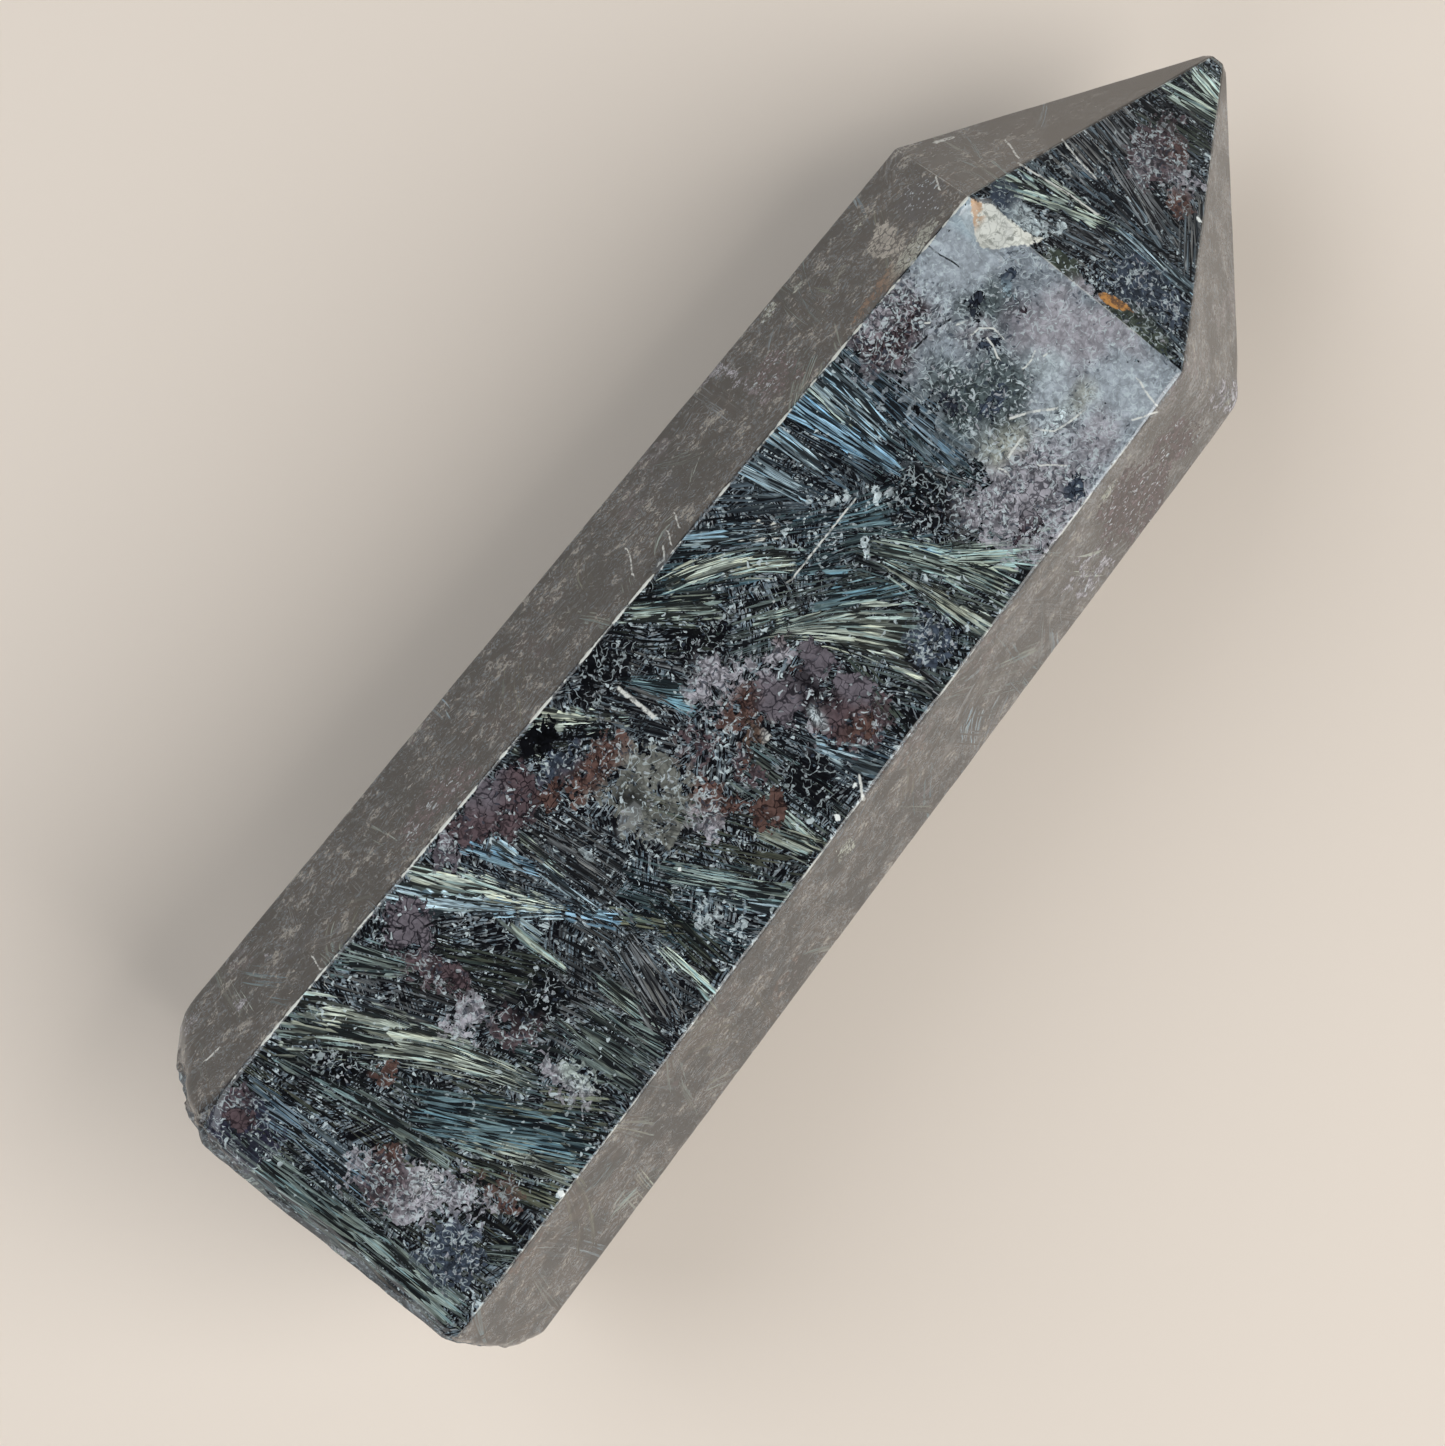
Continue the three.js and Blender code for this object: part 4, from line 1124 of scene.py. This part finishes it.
def crisp_bits(colour):
    """Bits of grain over the needles, some with a dark outline, and pale crystals here and there."""
    inside = grain_edge(g.stored("bits", "Alpha"), small_order * 0.4 + grain_order * 0.6)
    tint = mosaic(g.stored("bits", "Color"), bit_speckle, broad.ramp(0.3, 0.6, 0.5, 0.9))
    outline = inside.ramp(0.62, 0.54) * grain_hue.ramp(0.3, 0.5, 0.0, 0.75)
    colour = g.mix(inside.ramp(0.48, 0.51), colour, g.mix(outline, tint, "ink"))
    crystal = small_light.ramp(0.975, 0.985) * broad.ramp(0.45, 0.65, 0.1, 0.8)
    return g.mix(crystal * (1 - side), colour, "cyan_white")


def chip_tint():
    """The chipped corner: pale, cracked and stained orange on its left."""
    tint = g.mix(fine.ramp(0.34, 0.46), "beige", "chalk")
    tint = g.mix(network * 0.5, tint, "beige")
    stain = cloud.ramp(0.47, 0.53) * py.ramp(6.7, 7.4)
    return g.mix(stain * 0.8, tint, "orange")


def flaws(colour, chip_cover):
    """The chipped corner, the orange sliver, the pale specks and the cracks."""
    colour = g.mix(chip_cover, colour, chip_tint())
    rusty = g.mix(fine.ramp(0.4, 0.6), "rust", "orange")
    colour = g.mix((ragged * 0.2 + sliver).ramp(-0.02, 0.06), colour, rusty)
    colour = g.mix((ragged * 0.5 + speck).ramp(0.0, 0.1), colour, "white")
    beside_crack, inside_ends, dark_crack = g.split(g.stored("crack"))
    crack = abs(ragged * 2.5 + beside_crack).ramp(1.4, 0.6) * inside_ends.ramp(0.0, 1.0)
    crack = crack * fine.ramp(0.40, 0.52, 0.3, 0.95)
    return g.mix(crack, colour, g.mix(dark_crack, "bone", "ink"))


def worn_edges(colour):
    """White frayed edges and pale broken chips."""
    fray = cloud.ramp(0.3, 0.7, 0.0, 0.13)
    cover = (edge - fray * edge_worn).ramp(0.05, 0.0) * edge_worn
    colour = g.mix(cover * 0.85, colour, "chalk")
    return g.mix(broken * 0.25, colour, "grey")


def sawn(colour):
    """The base: dusty, with the saw's arcs."""
    radius = g.vector("DISTANCE", place, SAW_CENTRE, output=1)
    arcs = g.math("SINE", radius * SAW_ARCS).ramp(0.2, 1.0) * broad.ramp(0.35, 0.65)
    dust = g.mix(cloud.ramp(0.35, 0.7, 0.12, 0.5), colour, "grey")
    return g.mix(cap, colour, g.mix(arcs * 0.3, dust, "feldspar"))


def finish_material():
    """The colour, gloss and relief of the whole stone."""
    colour, grain_cover = grains(felt())
    chip_cover = (chip + ragged * 0.7).ramp(-0.03, 0.1)
    colour = crisp_bits(side_facets(needles(colour, grain_cover)))
    colour = sawn(worn_edges(flaws(colour, chip_cover)))
    matt = (cap * 0.62).or_more(broken * 0.5).or_more(chip_cover * 0.42)
    gloss = cloud.ramp(0.3, 0.7, 0.10, 0.17)
    relief = g.noise(place, 0.25, 0.0) * 0.010 + g.noise(place, 3.0, 0.0) * (cap * 0.06 + 0.0012)
    bump = g.add("Bump", {"Height": relief, "Distance": MM, "Strength": 1.0})
    looks = {"Base Color": colour, "Roughness": gloss.or_more(matt), "IOR": 1.55, "Normal": bump}
    output = material.node_tree.nodes.new("ShaderNodeOutputMaterial")
    g.feed(output.inputs["Surface"], g.add("BsdfPrincipled", looks))


finish_material()
stone = bpy.data.objects.new("stone_body", mesh)
bpy.context.scene.collection.objects.link(stone)
mesh.materials.append(material)
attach(stone, "root")
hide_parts("stone_point")

# -------------------- floor, light and camera

FLOOR_HALF = 0.9
FLOOR_COLOUR = (0.72, 0.645, 0.57)


def floor():
    """A plain pale floor just under the stone."""
    data = bpy.data.meshes.new("floor")
    corners = [(x * FLOOR_HALF, y * FLOOR_HALF, 0) for x, y in ((-1, -1), (1, -1), (1, 1), (-1, 1))]
    data.from_pydata(corners, [], [(0, 1, 2, 3)])
    thing = bpy.data.objects.new("floor", data)
    bpy.context.scene.collection.objects.link(thing)
    coat = bpy.data.materials.new("floor_paint")
    coat.use_nodes = True
    shader = coat.node_tree.nodes["Principled BSDF"]
    shader.inputs["Base Color"].default_value = (*FLOOR_COLOUR, 1)
    shader.inputs["Roughness"].default_value = 0.75
    data.materials.append(coat)


def lamp(name, azimuth, elevation, distance, size, power, colour=(1, 1, 1)):
    """A soft square light aimed at the stone. Azimuth is from +X towards +Y."""
    data = bpy.data.lights.new(name, "AREA")
    data.size = size
    data.energy = power
    data.color = colour
    thing = bpy.data.objects.new(name, data)
    a, e = math.radians(azimuth), math.radians(elevation)
    way = Vector((math.cos(a) * math.cos(e), math.sin(a) * math.cos(e), math.sin(e)))
    thing.location = way * distance
    thing.rotation_euler = (-thing.location).to_track_quat("-Z", "Y").to_euler()
    bpy.context.scene.collection.objects.link(thing)


def world():
    """Soft light from all round, dimmer overhead."""
    made = bpy.data.worlds.new("studio")
    made.use_nodes = True
    w = Graph(made.node_tree)
    height = w.split(w.add("TexCoord", output="Generated"))[2]
    background = made.node_tree.nodes["Background"]
    background.inputs["Color"].default_value = (0.93, 0.96, 1.0, 1)
    w.feed(background.inputs["Strength"], height.ramp(0.05, 0.5, 0.36, 0.04))
    bpy.context.scene.world = made


def camera():
    """Straight above, turned as in the reference view."""
    data = bpy.data.cameras.new("camera")
    data.sensor_width = SENSOR
    data.lens = SENSOR * FOCAL_PIXELS / IMAGE_SIDE
    data.clip_start = 0.01
    thing = bpy.data.objects.new("camera", data)
    thing.location = EYE * MM
    thing.rotation_euler = (0, 0, math.atan2(UP_IN_VIEW[1], UP_IN_VIEW[0]) - math.pi / 2)
    bpy.context.scene.collection.objects.link(thing)
    bpy.context.scene.camera = thing


floor()
world()
camera()
lamp("key", -72, 43, 0.8, 0.7, 6.8, (1.0, 0.985, 0.96))
lamp("fill", 108, 42, 0.8, 0.7, 3.6, (0.94, 0.97, 1.0))
lamp("back", 185, 40, 0.8, 0.5, 1.4)
bpy.context.scene.view_settings.view_transform = "Standard"
